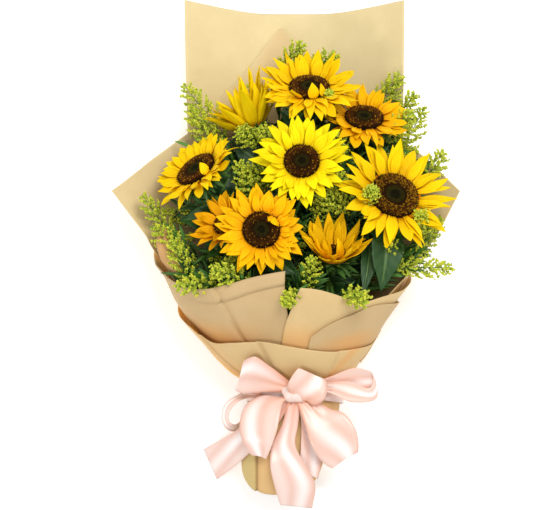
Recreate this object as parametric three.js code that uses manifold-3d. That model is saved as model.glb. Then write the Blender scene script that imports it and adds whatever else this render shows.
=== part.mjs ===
// A hand-tied bunch of nine sunflowers with goldenrod, wrapped in kraft paper and tied with a satin ribbon.
// It lies on its back on a table. Millimetres: +X is the right of the bunch, +Y runs from the cut stem ends
// towards the flowers, +Z is up from the table, and the origin is under the middle of the whole bunch.
import * as THREE from 'three';
import { mergeVertices } from 'three/addons/utils/BufferGeometryUtils.js';
import Module from 'manifold-3d';

const wasm = await Module();
wasm.setup();

// ---------------------------------------------------------------- driving dimensions
const PAPER = 0.7; // thickness of a sheet of kraft paper, doubled over
const CLEAR = 0.4; // least gap between two pieces that lie against each other
const STEM = 4.2; // radius of a sunflower stem
const SPRIG = 1.5; // radius of a goldenrod stalk
const STEM_SIDES = 5;
const SPRIG_SIDES = 4;
const SATIN = 0.8; // thickness of the ribbon
const STEM_END = -238; // where the stems are cut
const NECK = -158; // where the bunch is tied
const TIE = { x: 9, z: 21.3, pitch: 8.3 }; // the tied stems: middle and height of their lowest row, spacing
const FLAT = 35; // half-width of the strip of paper that lies flat on the table
const GREEN = 0x3f6b22;

const rad = THREE.MathUtils.degToRad;
const V = (x, y, z) => new THREE.Vector3(x, y, z);
const lerp = THREE.MathUtils.lerp;
const clamp = THREE.MathUtils.clamp;
const smooth = THREE.MathUtils.smoothstep;
const frac = (v) => v - Math.floor(v);
const noise = (i, j) => frac(Math.sin(i * 12.9898 + j * 78.233) * 43758.5453); // 0 to 1, fixed for i and j
const spread = (i, j) => 2 * noise(i, j) - 1; // -1 to 1

// ---------------------------------------------------------------- closed solids
function solidOf(points, faces) {
  const volume = faces.reduce((sum, [a, b, c]) => {
    return sum + points[a].dot(points[b].clone().cross(points[c]));
  }, 0);
  const turned = volume < 0 ? faces.map(([a, b, c]) => [a, c, b]) : faces;
  return new wasm.Manifold(new wasm.Mesh({
    numProp: 3,
    vertProperties: Float32Array.from(points.flatMap((p) => [p.x, p.y, p.z])),
    triVerts: Uint32Array.from(turned.flat()),
  }));
}

function solidOfGeometry(geometry, reshape = null) {
  const bare = geometry.clone();
  bare.deleteAttribute('normal');
  bare.deleteAttribute('uv');
  const merged = mergeVertices(bare, 1e-3);
  const place = merged.getAttribute('position');
  const points = [];
  for (let i = 0; i < place.count; i += 1) {
    const point = V(place.getX(i), place.getY(i), place.getZ(i));
    points.push(reshape ? reshape(point) : point);
  }
  const index = Array.from(merged.getIndex().array);
  const faces = [];
  for (let i = 0; i < index.length; i += 3) {
    const [a, b, c] = index.slice(i, i + 3);
    if (a !== b && b !== c && c !== a) faces.push([a, b, c]);
  }
  return solidOf(points, faces);
}

function geometryOf(solid) {
  const mesh = solid.getMesh();
  const geometry = new THREE.BufferGeometry();
  geometry.setAttribute('position', new THREE.BufferAttribute(Float32Array.from(mesh.vertProperties), 3));
  geometry.setIndex(Array.from(mesh.triVerts));
  geometry.computeVertexNormals();
  return geometry;
}

const fuse = (solids) => wasm.Manifold.union(solids);

function boxesMeet(a, b, gap) {
  const one = a.boundingBox();
  const two = b.boundingBox();
  return [0, 1, 2].every((k) => one.min[k] - gap < two.max[k] && two.min[k] - gap < one.max[k]);
}

// True when the solid keeps its gap to every solid in the list.
function isClear(solid, others, gap = CLEAR) {
  return others.every((other) => !boxesMeet(solid, other, gap) || solid.minGap(other, gap) >= gap * 0.999);
}

// The strips of a sharp-edged blade between two stations, each [left, top, right, bottom], or up to its tip.
function bladeStrips([l, t, r, b], [nl, nt, nr, nb]) {
  return [
    [l, nl, nt], [l, nt, t], [r, t, nt], [r, nt, nr],
    [l, nb, nl], [l, b, nb], [r, nr, nb], [r, nb, b],
  ];
}

const bladeEnd = ([l, t, r, b], tip) => [[l, tip, t], [t, tip, r], [r, tip, b], [b, tip, l]];

// A blade on its own: stations of four points, then the point of its tip.
function bladeSolid(stations, tip) {
  const points = [...stations.flat(), tip];
  const ids = stations.map((_, s) => [0, 1, 2, 3].map((k) => 4 * s + k));
  const faces = [[0, 1, 2], [0, 2, 3], ...bladeEnd(ids[ids.length - 1], points.length - 1)];
  for (let s = 0; s + 1 < ids.length; s += 1) faces.push(...bladeStrips(ids[s], ids[s + 1]));
  return solidOf(points, faces);
}

// A thin sheet between two grids of points that have the same rows and columns.
function sheetSolid(inner, outer) {
  const rows = inner.length;
  const columns = inner[0].length;
  const points = [...inner.flat(), ...outer.flat()];
  const half = rows * columns;
  const at = (r, c) => r * columns + c;
  const faces = [];
  for (let r = 0; r + 1 < rows; r += 1) {
    for (let c = 0; c + 1 < columns; c += 1) {
      const [p, q, s, t] = [at(r, c), at(r, c + 1), at(r + 1, c + 1), at(r + 1, c)];
      const cells = (r + c) % 2 ? [[p, q, s], [p, s, t]] : [[p, q, t], [q, s, t]];
      cells.forEach(([i, j, k]) => faces.push([i, j, k], [i + half, k + half, j + half]));
    }
  }
  const rim = [];
  for (let c = 0; c + 1 < columns; c += 1) rim.push(at(0, c));
  for (let r = 0; r + 1 < rows; r += 1) rim.push(at(r, columns - 1));
  for (let c = columns - 1; c > 0; c -= 1) rim.push(at(rows - 1, c));
  for (let r = rows - 1; r > 0; r -= 1) rim.push(at(r, 0));
  rim.forEach((p, k) => {
    const q = rim[(k + 1) % rim.length];
    faces.push([q, p, p + half], [q, p + half, q + half]);
  });
  return solidOf(points, faces);
}

// Rings of points, swept in order and closed by a flat end or by a single point at either end.
function loftSolid(rings) {
  const points = rings.flat();
  const faces = [];
  let start = 0;
  for (let k = 0; k + 1 < rings.length; k += 1) {
    const n = rings[k].length;
    const m = rings[k + 1].length;
    const next = start + n;
    const sides = Math.max(n, m);
    for (let i = 0; i < sides; i += 1) {
      const j = (i + 1) % sides;
      if (n > 1) faces.push([start + i, start + j, m > 1 ? next + j : next]);
      if (m > 1) faces.push([n > 1 ? start + i : start, next + j, next + i]);
    }
    start = next;
  }
  const last = rings[rings.length - 1].length;
  for (let i = 1; i + 1 < rings[0].length; i += 1) faces.push([0, i + 1, i]);
  for (let i = 1; i + 1 < last; i += 1) faces.push([start, start + i, start + i + 1]);
  return solidOf(points, faces);
}

function polygon(radius, sides) {
  const shape = new THREE.Shape();
  for (let i = 0; i < sides; i += 1) {
    const turn = (2 * Math.PI * i) / sides;
    shape[i ? 'lineTo' : 'moveTo'](radius * Math.cos(turn), radius * Math.sin(turn));
  }
  shape.closePath();
  return shape;
}

function tubeSolid(curve, radius, sides, steps) {
  const options = { extrudePath: curve, steps, bevelEnabled: false };
  return solidOfGeometry(new THREE.ExtrudeGeometry(polygon(radius, sides), options));
}

// ---------------------------------------------------------------- the wrap that all the paper follows
// y, middle x, half-width, lowest z, z of the widest point, top z, how far the sides close into a tube
const WRAP = [
  [-290, -2, 44, 2.4, 16, 32, 1],
  [-242, 0, 50, 2.2, 26, 59, 1],
  [-194, 6, 54, 3.2, 28, 61, 1],
  [-160, 9, 47, 9.4, 36, 63, 1],
  [-110, 3, 84, 6.5, 44, 100, 1],
  [-60, -1, 120, 3.4, 52, 136, 0.9],
  [-20, 3, 143, 2.2, 54, 146, 0.3],
  [10, 3, 164, 1.9, 58, 148, 0],
  [66, 0, 202, 1.9, 64, 150, 0],
  [140, 8, 166, 1.9, 60, 150, 0],
  [200, 9, 142, 1.9, 58, 150, 0],
  [292, 9, 136, 1.9, 60, 150, 0],
];
const ROUND = 2.3; // exponent of the upper half of a section

// The table's row at y, with every column smooth and never past its neighbouring values.
function wrapRow(y) {
  let k = 0;
  while (k + 2 < WRAP.length && y > WRAP[k + 1][0]) k += 1;
  const slope = (a, c) => (WRAP[a + 1][c] - WRAP[a][c]) / (WRAP[a + 1][0] - WRAP[a][0]);
  const knot = (a, c) => {
    if (a === 0) return slope(0, c);
    if (a === WRAP.length - 1) return slope(a - 1, c);
    const [before, after] = [slope(a - 1, c), slope(a, c)];
    return before * after <= 0 ? 0 : (2 * before * after) / (before + after);
  };
  const step = WRAP[k + 1][0] - WRAP[k][0];
  const t = clamp((y - WRAP[k][0]) / step, 0, 1);
  return WRAP[k].map((value, c) => {
    const end = WRAP[k + 1][c];
    const curve = (2 * t ** 3 - 3 * t ** 2 + 1) * value + (3 * t ** 2 - 2 * t ** 3) * end;
    return curve + step * ((t ** 3 - 2 * t ** 2 + t) * knot(k, c) + (t ** 3 - t ** 2) * knot(k + 1, c));
  });
}

// turn: 0 under the bunch, 90 its left side, 180 the front on top, 270 (or -90) its right side
function wrapPoint(y, turn) {
  const [, middle, width, low, side, top, closed] = wrapRow(y);
  const across = Math.sin(rad(turn));
  const up = -Math.cos(rad(turn));
  if (up > 0) {
    const reach = Math.sign(across) * Math.abs(across) ** (2 / ROUND);
    return V(middle - width * reach, y, side + (top - side) * up ** (2 / ROUND));
  }
  const s = Math.abs(across);
  const flat = FLAT / width;
  const open = Math.max(0, (s - flat) / (1 - flat)) ** 1.6;
  const tube = 1 - Math.sqrt(1 - s * s);
  return V(middle - width * across, y, low + (side - low) * lerp(open, tube, closed));
}

function wrapNormal(y, turn) {
  const along = wrapPoint(y + 0.5, turn).sub(wrapPoint(y - 0.5, turn));
  const round = wrapPoint(y, turn + 0.4).sub(wrapPoint(y, turn - 0.4));
  return along.cross(round).normalize().negate();
}

// The turn at which the lower half of the wrap is at x.
function turnAt(x, y) {
  const [, middle, width] = wrapRow(y);
  return THREE.MathUtils.radToDeg(Math.asin(clamp((middle - x) / width, -1, 1)));
}

const offWrap = (y, turn, out) => wrapPoint(y, turn).addScaledVector(wrapNormal(y, turn), out);

// The point of a broken line of [place, ...values] rows at a place.
function along(rows, place) {
  let k = 0;
  while (k + 2 < rows.length && place > rows[k + 1][0]) k += 1;
  const t = clamp((place - rows[k][0]) / (rows[k + 1][0] - rows[k][0]), 0, 1);
  return rows[k].map((value, c) => lerp(value, rows[k + 1][c], t));
}

// ---------------------------------------------------------------- paper behind the flowers
const BACK = 1.9 - PAPER; // how far out the back sheet lies on the wrap
const innerOut = (y) => -1.3 - 3.2 * smooth(y, -100, 30); // the inner sheet stands off the back sheet

// A side edge of a sheet: [y, turn] rows from the tie up, then [y, x] rows where the sheet lies open.
const edgeRows = (tied, left, right) => [
  ...tied,
  ...left.map(([y, x], k) => [y, turnAt(x, y), turnAt(right[k], y)]),
];

const BACK_ROWS = [-254, -226, -192, -160, -130, -96, -60, -20, 12, 80, 180, 284];
const BACK_EDGES = edgeRows(
  [[-290, 82, -82], [-160, 80, -80], [-96, 62, -62]],
  [[-40, -88], [12, -98], [132, -111], [284, -116]],
  [96, 112, 132, 134],
);
const INNER_ROWS = [-250, -222, -190, -160, -130, -96, -58, -20, 20, 62, 100, 135, 172, 214, 264];
const INNER_EDGES = edgeRows(
  [[-290, 150, -150], [-160, 150, -150], [-96, 130, -130], [-58, 112, -112], [-28, 98, -98]],
  [[12, -162], [62, -196], [100, -158], [135, -115], [210, -51], [264, -10]],
  [172, 196, 164, 124, 50, -6],
);

function backSheet() {
  const top = (y, x) => y + (y > 250 ? 3 * smooth(Math.abs(x - 9), 20, 125) : 0);
  const layer = (depth) => BACK_ROWS.map((y) => {
    const [, left, right] = along(BACK_EDGES, y);
    return [-1, -0.72, -0.46, -0.24, 0, 0.24, 0.46, 0.72, 1].map((u) => {
      const turn = u < 0 ? left * -u : right * u;
      const point = offWrap(y, turn, BACK + depth);
      point.y = top(y, point.x);
      return point;
    });
  });
  return sheetSolid(layer(0), layer(PAPER));
}

function innerSheet() {
  const columns = 10;
  const layer = (depth) => INNER_ROWS.map((y) => {
    const [, left, right] = along(INNER_EDGES, y);
    const row = [];
    for (let c = 0; c <= columns; c += 1) {
      row.push(offWrap(y, lerp(left, right, c / columns), innerOut(y) + depth));
    }
    return row;
  });
  return sheetSolid(layer(0), layer(PAPER));
}

// ---------------------------------------------------------------- paper in front
// Each rim is a row of [turn, y], from the left of the bunch to its right.
const FRONT_LEFT = {
  rim: [[84, 0], [95, -24], [106, -41], [118, -53], [130, -59], [142, -60], [154, -57], [164, -52],
    [179, -45]],
  foot: [96, 181.5, -140], out: 2.6, flare: 2, fold: [2, 5, 9, 12, 14, 15, 15, 15, 15],
};
const FRONT_RIGHT = {
  rim: [[185, -62], [194, -64], [210, -71], [222, -73], [237, -64], [256, -51], [272, -32]],
  foot: [178.5, 262, -130], out: 4.5, flare: 2, fold: null,
};
const FRONT_LOWER = {
  rim: [[192, -109], [203, -96], [217, -85], [232, -74], [254, -67], [272, -60]],
  foot: [190, 260, -122], out: 6.7, flare: 1.5, fold: null,
};
const COLLAR = {
  rim: [[86, -60], [100, -84], [118, -108], [140, -112], [164, -113], [186, -120], [208, -122], [230, -118],
    [256, -109], [272, -94]],
  foot: [92, 268, -160], out: 7.9, flare: 2.4, fold: null,
};
const COLLAR_AT_NECK = 2.8; // how far out the collar lies where only it and the back sheets are tied

function frontSheet({ rim, foot, out, flare, fold }, rows, span = (y) => out) {
  const [left, right, low] = foot;
  const steps = rim.length - 1;
  const place = (k, v, off) => {
    const [turn, high] = rim[k];
    const base = lerp(left, right, k / steps);
    const y = lerp(low, high, v);
    return offWrap(y, lerp(base, turn, v), span(y) + flare * v * v + off);
  };
  const levels = [];
  for (let r = 0; r <= rows; r += 1) levels.push(rim.map(() => [r / rows, 0, r / rows, PAPER]));
  if (fold) {
    const share = (k, mm) => mm / (rim[k][1] - low);
    const over = 2 * PAPER + CLEAR;
    levels.push(rim.map((_, k) => [1, over, 1 - share(k, PAPER), PAPER + CLEAR]));
    levels.push(rim.map((_, k) => [1 - share(k, fold[k]), over, 1 - share(k, fold[k]), PAPER + CLEAR]));
    levels[rows] = rim.map((_, k) => [1, 0, 1 - share(k, PAPER), PAPER]);
  }
  const inner = levels.map((level) => level.map(([v, off], k) => place(k, v, off)));
  const outer = levels.map((level) => level.map(([, , v, off], k) => place(k, v, off)));
  return sheetSolid(inner, outer);
}

// The collar narrows to the tie and goes on as the skirt below it.
function collarSheet() {
  const { rim, foot, out, flare } = COLLAR;
  const span = (y) => lerp(COLLAR_AT_NECK, out, smooth(y, -152, -128));
  const steps = rim.length - 1;
  const skirt = [-1, -0.72, -0.4, -0.12, 0].map((v) => ({ v, end: -160 + 121 * v }));
  const rise = [0.2, 0.42, 0.7, 1].map((v) => ({ v, end: null }));
  const levels = [...skirt, ...rise];
  const layer = (depth) => levels.map(({ v, end }) => rim.map(([turn, high], k) => {
    const base = lerp(foot[0], foot[1], k / steps);
    if (end === null) {
      const y = lerp(foot[2], high, v);
      return offWrap(y, lerp(base, turn, v), span(y) + flare * v * v + depth);
    }
    const corner = 36 * Math.abs(2 * k / steps - 1) ** 3 * -v; // rounds off the skirt's end
    const y = Math.min(end + corner, -160);
    return offWrap(y, base, span(y) + depth);
  }));
  return sheetSolid(layer(0), layer(PAPER));
}

// ---------------------------------------------------------------- sunflower heads
// centre and facing of the petal ring, radius of the disc, reach of the petals and how they stand, and the
// stem's column and row in the tie
const BLOOMS = [
  { name: 'a', at: [-40, 143, 66], facing: [-0.42, 0.9, 0.05], disc: 9, reach: 64,
    petals: 18, lift: 38, tilt: 0, curl: 14, slot: [-1, 0], hue: 0xf7dc1e },
  { name: 'b', at: [25, 181, 92], facing: [0, 0.69, 0.72], disc: 23, reach: 61,
    petals: 24, lift: 14, tilt: 20, curl: -6, slot: [0, 0], hue: 0xf6c813 },
  { name: 'c', at: [87, 148, 84], facing: [0.05, 0.68, 0.73], disc: 22, reach: 54,
    petals: 20, lift: 14, tilt: 18, curl: -8, slot: [1, 0], hue: 0xf5b710 },
  { name: 'd', at: [16, 88, 132], facing: [0, 0.2, 0.98], disc: 20, reach: 57,
    petals: 24, lift: 14, tilt: 4, curl: -14, slot: [0.5, 1], hue: 0xfad81c },
  { name: 'e', at: [-102, 87, 90], facing: [-0.52, 0.6, 0.61], disc: 24, reach: 54,
    petals: 24, lift: 14, tilt: 12, curl: -8, slot: [-1.5, 1], hue: 0xf7c915 },
  { name: 'f', at: [119, 52, 118], facing: [0.25, 0.35, 0.9], disc: 28, reach: 71,
    petals: 22, lift: 14, tilt: 6, curl: -12, slot: [1.5, 1], hue: 0xf8d01a },
  { name: 'g', at: [-29, 9, 140], facing: [0.05, 0.1, 0.99], disc: 21, reach: 53,
    petals: 24, lift: 10, tilt: 0, curl: -10, slot: [0, 2], hue: 0xf3b30e },
  { name: 'h', at: [51, -12, 116], facing: [0.05, 0.75, 0.66], disc: 13, reach: 54,
    petals: 18, lift: 46, tilt: 4, curl: -8, slot: [1, 2], hue: 0xf4bb10 },
  { name: 'i', at: [-71, 23, 100], facing: [-0.5, 0.3, 0.8], disc: 12, reach: 42,
    petals: 14, lift: 26, tilt: 0, curl: -6, slot: [-1, 2], hue: 0xf2ae10 },
];
const RING_FOOT = -4.0; // measured along the way the head faces
const RING_ROWS = [-1.2, -2.2, -3.1, RING_FOOT]; // heights of the lattice of petal roots
const CUP_TOP = -4.4;
const CUP_DEPTH = 18;
const PETAL_WIDTH = 7.6; // half-width of a petal of an open head

function frameOf({ at, facing }) {
  const normal = V(...facing).normalize();
  const up = V(0, 1, 0).addScaledVector(normal, -normal.y).normalize();
  const right = up.clone().cross(normal);
  const centre = V(...at);
  const place = (radius, turn, height) => centre.clone()
    .addScaledVector(right, radius * Math.cos(turn))
    .addScaledVector(up, radius * Math.sin(turn))
    .addScaledVector(normal, height);
  return { normal, up, right, centre, place };
}

// Radius and height of a point of a petal's middle line, which bends evenly by curl over its length.
function petalLine(lift, curl, length, s) {
  const bend = rad(curl);
  const angle = rad(lift);
  if (Math.abs(bend) < 1e-4) return [length * s * Math.cos(angle), length * s * Math.sin(angle)];
  const out = (Math.sin(angle + bend * s) - Math.sin(angle)) / bend;
  const rise = (Math.cos(angle) - Math.cos(angle + bend * s)) / bend;
  return [length * out, length * rise];
}

const PETAL_STATIONS = [[0.38, 1], [0.74, 0.82]]; // share of the length, share of the width

// The roots of the petals tile the outer wall of their ring: lower petals stand between upper ones.
function petalRoot(bloom, layer, k) {
  const count = bloom.petals / 2;
  const { place } = frameOf(bloom);
  const wall = (bloom.disc + CLEAR) / Math.cos(Math.PI / count) + 2.4;
  const point = (step, row) => place(wall, (2 * Math.PI * step) / count, RING_ROWS[row]);
  const middle = k + layer / 2;
  const top = 1 - layer;
  const sides = [-0.5, 0.5].map((half) => point(middle + half, top + 1));
  return [sides[0], point(middle, top), sides[1], point(middle, top + 2)];
}

// The stations and the tip of one petal; layer 0 is the lower one.
function petalShape(bloom, layer, k, change) {
  const { normal, place } = frameOf(bloom);
  const count = bloom.petals / 2;
  const seed = bloom.name.charCodeAt(0) + 10 * layer;
  const turn = (2 * Math.PI * (k + layer / 2 + 0.12 * spread(k, seed))) / count;
  const rest = bloom.lift + bloom.tilt * Math.sin(turn) + 12 * layer;
  const lift = rest + 4 * spread(k, seed + 1) + change.lift;
  const curl = bloom.curl * (1 + 0.6 * spread(k, seed + 2)) + 5 * spread(k, seed + 3);
  const wall = (bloom.disc + CLEAR) / Math.cos(Math.PI / count) + 2.4;
  const length = (bloom.reach - wall) * (1.02 - 0.08 * layer + 0.1 * spread(k, seed + 4)) * change.length;
  const roll = rad(14 * spread(k, seed + 5));
  const width = PETAL_WIDTH * (0.9 + 0.16 * spread(k, seed + 6)) * Math.min(1, 0.55 + bloom.reach / 120);
  const start = RING_ROWS[2 - layer];
  const outward = place(1, turn, 0).sub(place(0, turn, 0));
  const side = normal.clone().cross(outward);
  const point = (s) => {
    const [out, rise] = petalLine(lift, curl, length, s);
    return place(wall + out, turn, start + rise);
  };
  const stations = PETAL_STATIONS.map(([s, share]) => {
    const middle = point(s);
    const angle = rad(lift + curl * s);
    const face = normal.clone().multiplyScalar(Math.cos(angle)).addScaledVector(outward, -Math.sin(angle));
    const across = side.clone().multiplyScalar(Math.cos(roll)).addScaledVector(face, Math.sin(roll));
    const upward = face.clone().multiplyScalar(Math.cos(roll)).addScaledVector(side, -Math.sin(roll));
    const raised = middle.clone().addScaledVector(upward, 0.12 * width * share);
    return [
      raised.clone().addScaledVector(across, -width * share),
      middle.clone().addScaledVector(upward, 0.35),
      raised.clone().addScaledVector(across, width * share),
      middle.clone().addScaledVector(upward, -0.75),
    ];
  });
  return { stations, tip: point(1) };
}

// A petal that would meet a neighbour is bent up or down, and shortened only where bending isn't enough.
const PETAL_CHANGES = [1, 0.84, 0.68, 0.5, 0.34].flatMap((length) => {
  return [0, 7, -7, 14, -14, 21, -21].map((lift) => ({ lift, length }));
});

function chosenPetals(bloom, others) {
  const kept = [];
  [0, 1].forEach((layer) => {
    for (let k = 0; k < bloom.petals / 2; k += 1) {
      const root = petalRoot(bloom, layer, k);
      const meets = ({ solid }) => !isClear(solid, others)
        || kept.some((one) => boxesMeet(one.solid, solid, 0) && one.solid.intersect(solid).volume() > 1e-3);
      let petal = null;
      for (const change of PETAL_CHANGES) {
        const shape = petalShape(bloom, layer, k, change);
        petal = { ...shape, solid: bladeSolid([root, ...shape.stations], shape.tip) };
        if (!meets(petal)) break;
      }
      kept.push(petal);
    }
  });
  return kept;
}

// The ring and its petals are one mesh: every petal grows out of its own diamond of the ring's wall.
function petalRing(bloom, others) {
  const count = bloom.petals / 2;
  const { place } = frameOf(bloom);
  const inner = (bloom.disc + CLEAR) / Math.cos(Math.PI / count);
  const wall = inner + 2.4;
  const points = [];
  const circle = (radius, step, height) => {
    const start = points.length;
    for (let k = 0; k < count; k += 1) {
      points.push(place(radius, (2 * Math.PI * (k + step)) / count, height));
    }
    return (k) => start + ((k + count) % count);
  };
  const rings = RING_ROWS.map((height, row) => circle(wall, row % 2 ? 0 : 0.5, height));
  const [crest, waist, groove, keel] = rings;
  const lip = circle(inner, 0, RING_ROWS[0]);
  const foot = circle(inner, 0, RING_FOOT);
  const faces = [];
  const petals = chosenPetals(bloom, others);
  for (let k = 0; k < count; k += 1) {
    faces.push([waist(k), crest(k), lip(k)], [crest(k), lip(k + 1), lip(k)]);
    faces.push([crest(k), waist(k + 1), lip(k + 1)]);
    faces.push([lip(k), lip(k + 1), foot(k + 1)], [lip(k), foot(k + 1), foot(k)]);
    faces.push([groove(k), keel(k), foot(k)], [groove(k), foot(k), foot(k + 1)]);
    faces.push([keel(k + 1), groove(k), foot(k + 1)]);
    const lower = [groove(k - 1), waist(k), groove(k), keel(k)];
    const roots = [lower, [waist(k), crest(k), waist(k + 1), groove(k)]];
    roots.forEach((root, layer) => {
      const { stations, tip } = petals[layer * count + k];
      let before = root;
      stations.forEach((station) => {
        const ids = station.map((point) => points.push(point) - 1);
        faces.push(...bladeStrips(before, ids));
        before = ids;
      });
      faces.push(...bladeEnd(before, points.push(tip) - 1));
    });
  }
  return solidOf(points, faces);
}

// Moves a point of a lathe, turned about its Y axis, onto a head.
function headPlacer(bloom) {
  const { centre, right, up, normal } = frameOf(bloom);
  return ({ x, y, z }) => {
    return centre.clone().addScaledVector(right, x).addScaledVector(up, -z).addScaledVector(normal, y);
  };
}

// The seed disc: a low dome with a dip in the middle and rings of florets raised on it.
function discSolid(bloom) {
  const sides = 16;
  const r = bloom.disc;
  const dome = (share) => 0.16 * r * (1 - share ** 2) + 2.2 - 0.1 * r * (1 - share) ** 2;
  const rows = [0.82, 0.55, 0.28];
  const relief = rows.map((s) => [r * s, dome(s)]);
  const profile = [[0, RING_FOOT], [r, RING_FOOT], [r, 0.6], ...relief, [0, dome(0) - 1]];
  const lathe = new THREE.LatheGeometry(profile.map(([x, y]) => new THREE.Vector2(x, y)), sides);
  const place = headPlacer(bloom);
  return solidOfGeometry(lathe, (p) => {
    const share = Math.hypot(p.x, p.z) / r;
    const row = rows.findIndex((s) => Math.abs(s - share) < 0.02);
    const turn = Math.round((Math.atan2(p.z, p.x) / (2 * Math.PI)) * sides + sides);
    const raised = row >= 0 && (turn + row) % 2 === 0 ? 1.3 : 0;
    return place(V(p.x, p.y + raised, p.z));
  });
}

// ---------------------------------------------------------------- green: calyx, stem and leaves of a head
function calyxSolid(bloom) {
  const sides = 12;
  const r = bloom.disc;
  const rim = r + 3;
  const profile = [[0, CUP_TOP], [rim - 1, CUP_TOP], [rim, -6], [rim - 1.5, -8], [0.5 * r + 2, -13.5],
    [STEM + 0.6, -CUP_DEPTH], [0, -CUP_DEPTH]];
  const lathe = new THREE.LatheGeometry(profile.map(([x, y]) => new THREE.Vector2(x, y)), sides);
  const place = headPlacer(bloom);
  return solidOfGeometry(lathe, (p) => {
    const out = Math.hypot(p.x, p.z);
    const turn = Math.round((Math.atan2(p.z, p.x) / (2 * Math.PI)) * sides + sides);
    const bract = Math.abs(out - rim) < 0.05 && turn % 2 === 0;
    if (!bract) return place(p);
    const stretch = (rim + 9.5) / rim; // the rim's points are the bracts
    const lift = Math.max(0, bloom.lift - 14);
    return place(V(p.x * stretch, p.y - 4.5 + 9.5 * Math.tan(rad(lift)), p.z * stretch));
  });
}

// Where a stem stands in the tie: the stems are packed in rows, each row half a pitch along.
function tieAt({ slot: [column, row] }) {
  return [TIE.x + TIE.pitch * column, TIE.z + TIE.pitch * Math.sin(rad(60)) * row];
}

// How far a regular tube section with a corner at its foot reaches at an angle from +X towards +Z.
function sectionReach(radius, sides, angle) {
  const step = 360 / sides;
  const past = (((angle + 90) % step) + step) % step;
  return radius * Math.cos(rad(Math.min(past, step - past)));
}

// Where a spray's stalk stands in the tie, against the side of a stem.
function tieBeside({ beside: [name, angle] }) {
  const [x, z] = tieAt(BLOOMS.find((bloom) => bloom.name === name));
  const reach = sectionReach(STEM, STEM_SIDES, angle) + sectionReach(SPRIG, SPRIG_SIDES, angle + 180);
  const away = reach + 1.3 * CLEAR;
  return [x + away * Math.cos(rad(angle)), z + away * Math.sin(rad(angle))];
}

function stemCurve(bloom) {
  const { normal, centre } = frameOf(bloom);
  const [x, z] = tieAt(bloom);
  const foot = V(x, STEM_END + 6 * spread(x, z), z);
  const neck = V(x, NECK + 6, z);
  const top = centre.clone().addScaledVector(normal, 2 - CUP_DEPTH);
  const run = top.distanceTo(neck);
  const lean = neck.clone().add(V(0, 0.42 * run, 0));
  const nod = top.clone().addScaledVector(normal, -Math.min(46, 0.34 * run));
  const path = new THREE.CurvePath();
  path.add(new THREE.LineCurve3(foot, neck));
  path.add(new THREE.CubicBezierCurve3(neck, lean, nod, top));
  return path;
}

function stemPoints(bloom) {
  const [straight, bent] = stemCurve(bloom).curves;
  return [straight.getPoint(0), straight.getPoint(0.88), ...bent.getPoints(9)];
}

function stemSolid(bloom) {
  const curve = new THREE.CatmullRomCurve3(stemPoints(bloom), false, 'centripetal');
  return tubeSolid(curve, STEM, STEM_SIDES, 10);
}

// A sunflower leaf: toothed edges that wave, on a short stalk from its stem.
function leafSolid({ from, to, face, width, seed }) {
  const start = from;
  const end = V(...to);
  const axis = end.clone().sub(start);
  const length = axis.length();
  axis.normalize();
  const upward = V(...face).addScaledVector(axis, -V(...face).dot(axis)).normalize();
  const side = axis.clone().cross(upward);
  const shares = [[0, 0.08], [0.16, 0.16], [0.26, 0.8], [0.36, 0.74], [0.46, 1], [0.58, 0.82], [0.7, 0.8],
    [0.84, 0.42]];
  const stations = shares.map(([s, share], k) => {
    const middle = start.clone().addScaledVector(axis, s * length)
      .addScaledVector(upward, 0.14 * length * Math.sin(Math.PI * s));
    const half = width * share;
    const wave = 0.16 * width * spread(k, seed) * (k > 1 ? 1 : 0);
    return [
      middle.clone().addScaledVector(side, -half).addScaledVector(upward, 0.28 * half + wave),
      middle.clone().addScaledVector(upward, 0.5),
      middle.clone().addScaledVector(side, half).addScaledVector(upward, 0.28 * half - wave),
      middle.clone().addScaledVector(upward, -0.9),
    ];
  });
  return bladeSolid(stations, end);
}

// Leaves: the head whose stem carries each, how far up that stem, its tip, the way its face looks, half-width
const LEAVES = [
  { on: 'f', share: 0.9, to: [104, -54, 104], face: [0.5, -0.5, 0.8], width: 16, seed: 1 },
  { on: 'f', share: 0.74, to: [84, -60, 108], face: [0, -0.5, 0.9], width: 10, seed: 2 },
  { on: 'f', share: 0.84, to: [152, 6, 92], face: [0.3, 0, 1], width: 15, seed: 3 },
  { on: 'c', share: 0.84, to: [42, 142, 86], face: [-0.2, 0.2, 1], width: 15, seed: 4 },
  { on: 'c', share: 0.62, to: [96, 96, 84], face: [0.3, 0, 1], width: 17, seed: 5 },
  { on: 'b', share: 0.82, to: [-8, 158, 74], face: [0, 0, 1], width: 14, seed: 6 },
  { on: 'e', share: 0.84, to: [-62, 86, 92], face: [0.2, -0.2, 1], width: 16, seed: 7 },
  { on: 'e', share: 0.7, to: [-122, 34, 66], face: [-0.2, 0, 1], width: 17, seed: 8 },
  { on: 'a', share: 0.8, to: [-62, 122, 66], face: [0, 0, 1], width: 15, seed: 9 },
  { on: 'd', share: 0.8, to: [-26, 58, 100], face: [0, 0, 1], width: 15, seed: 10 },
  { on: 'g', share: 0.78, to: [12, -36, 112], face: [0, -0.3, 1], width: 15, seed: 11 },
  { on: 'i', share: 0.74, to: [-84, -34, 98], face: [-0.2, -0.2, 1], width: 15, seed: 12 },
  { on: 'h', share: 0.86, to: [66, -44, 110], face: [0, -0.6, 0.8], width: 13, seed: 13 },
];

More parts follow.
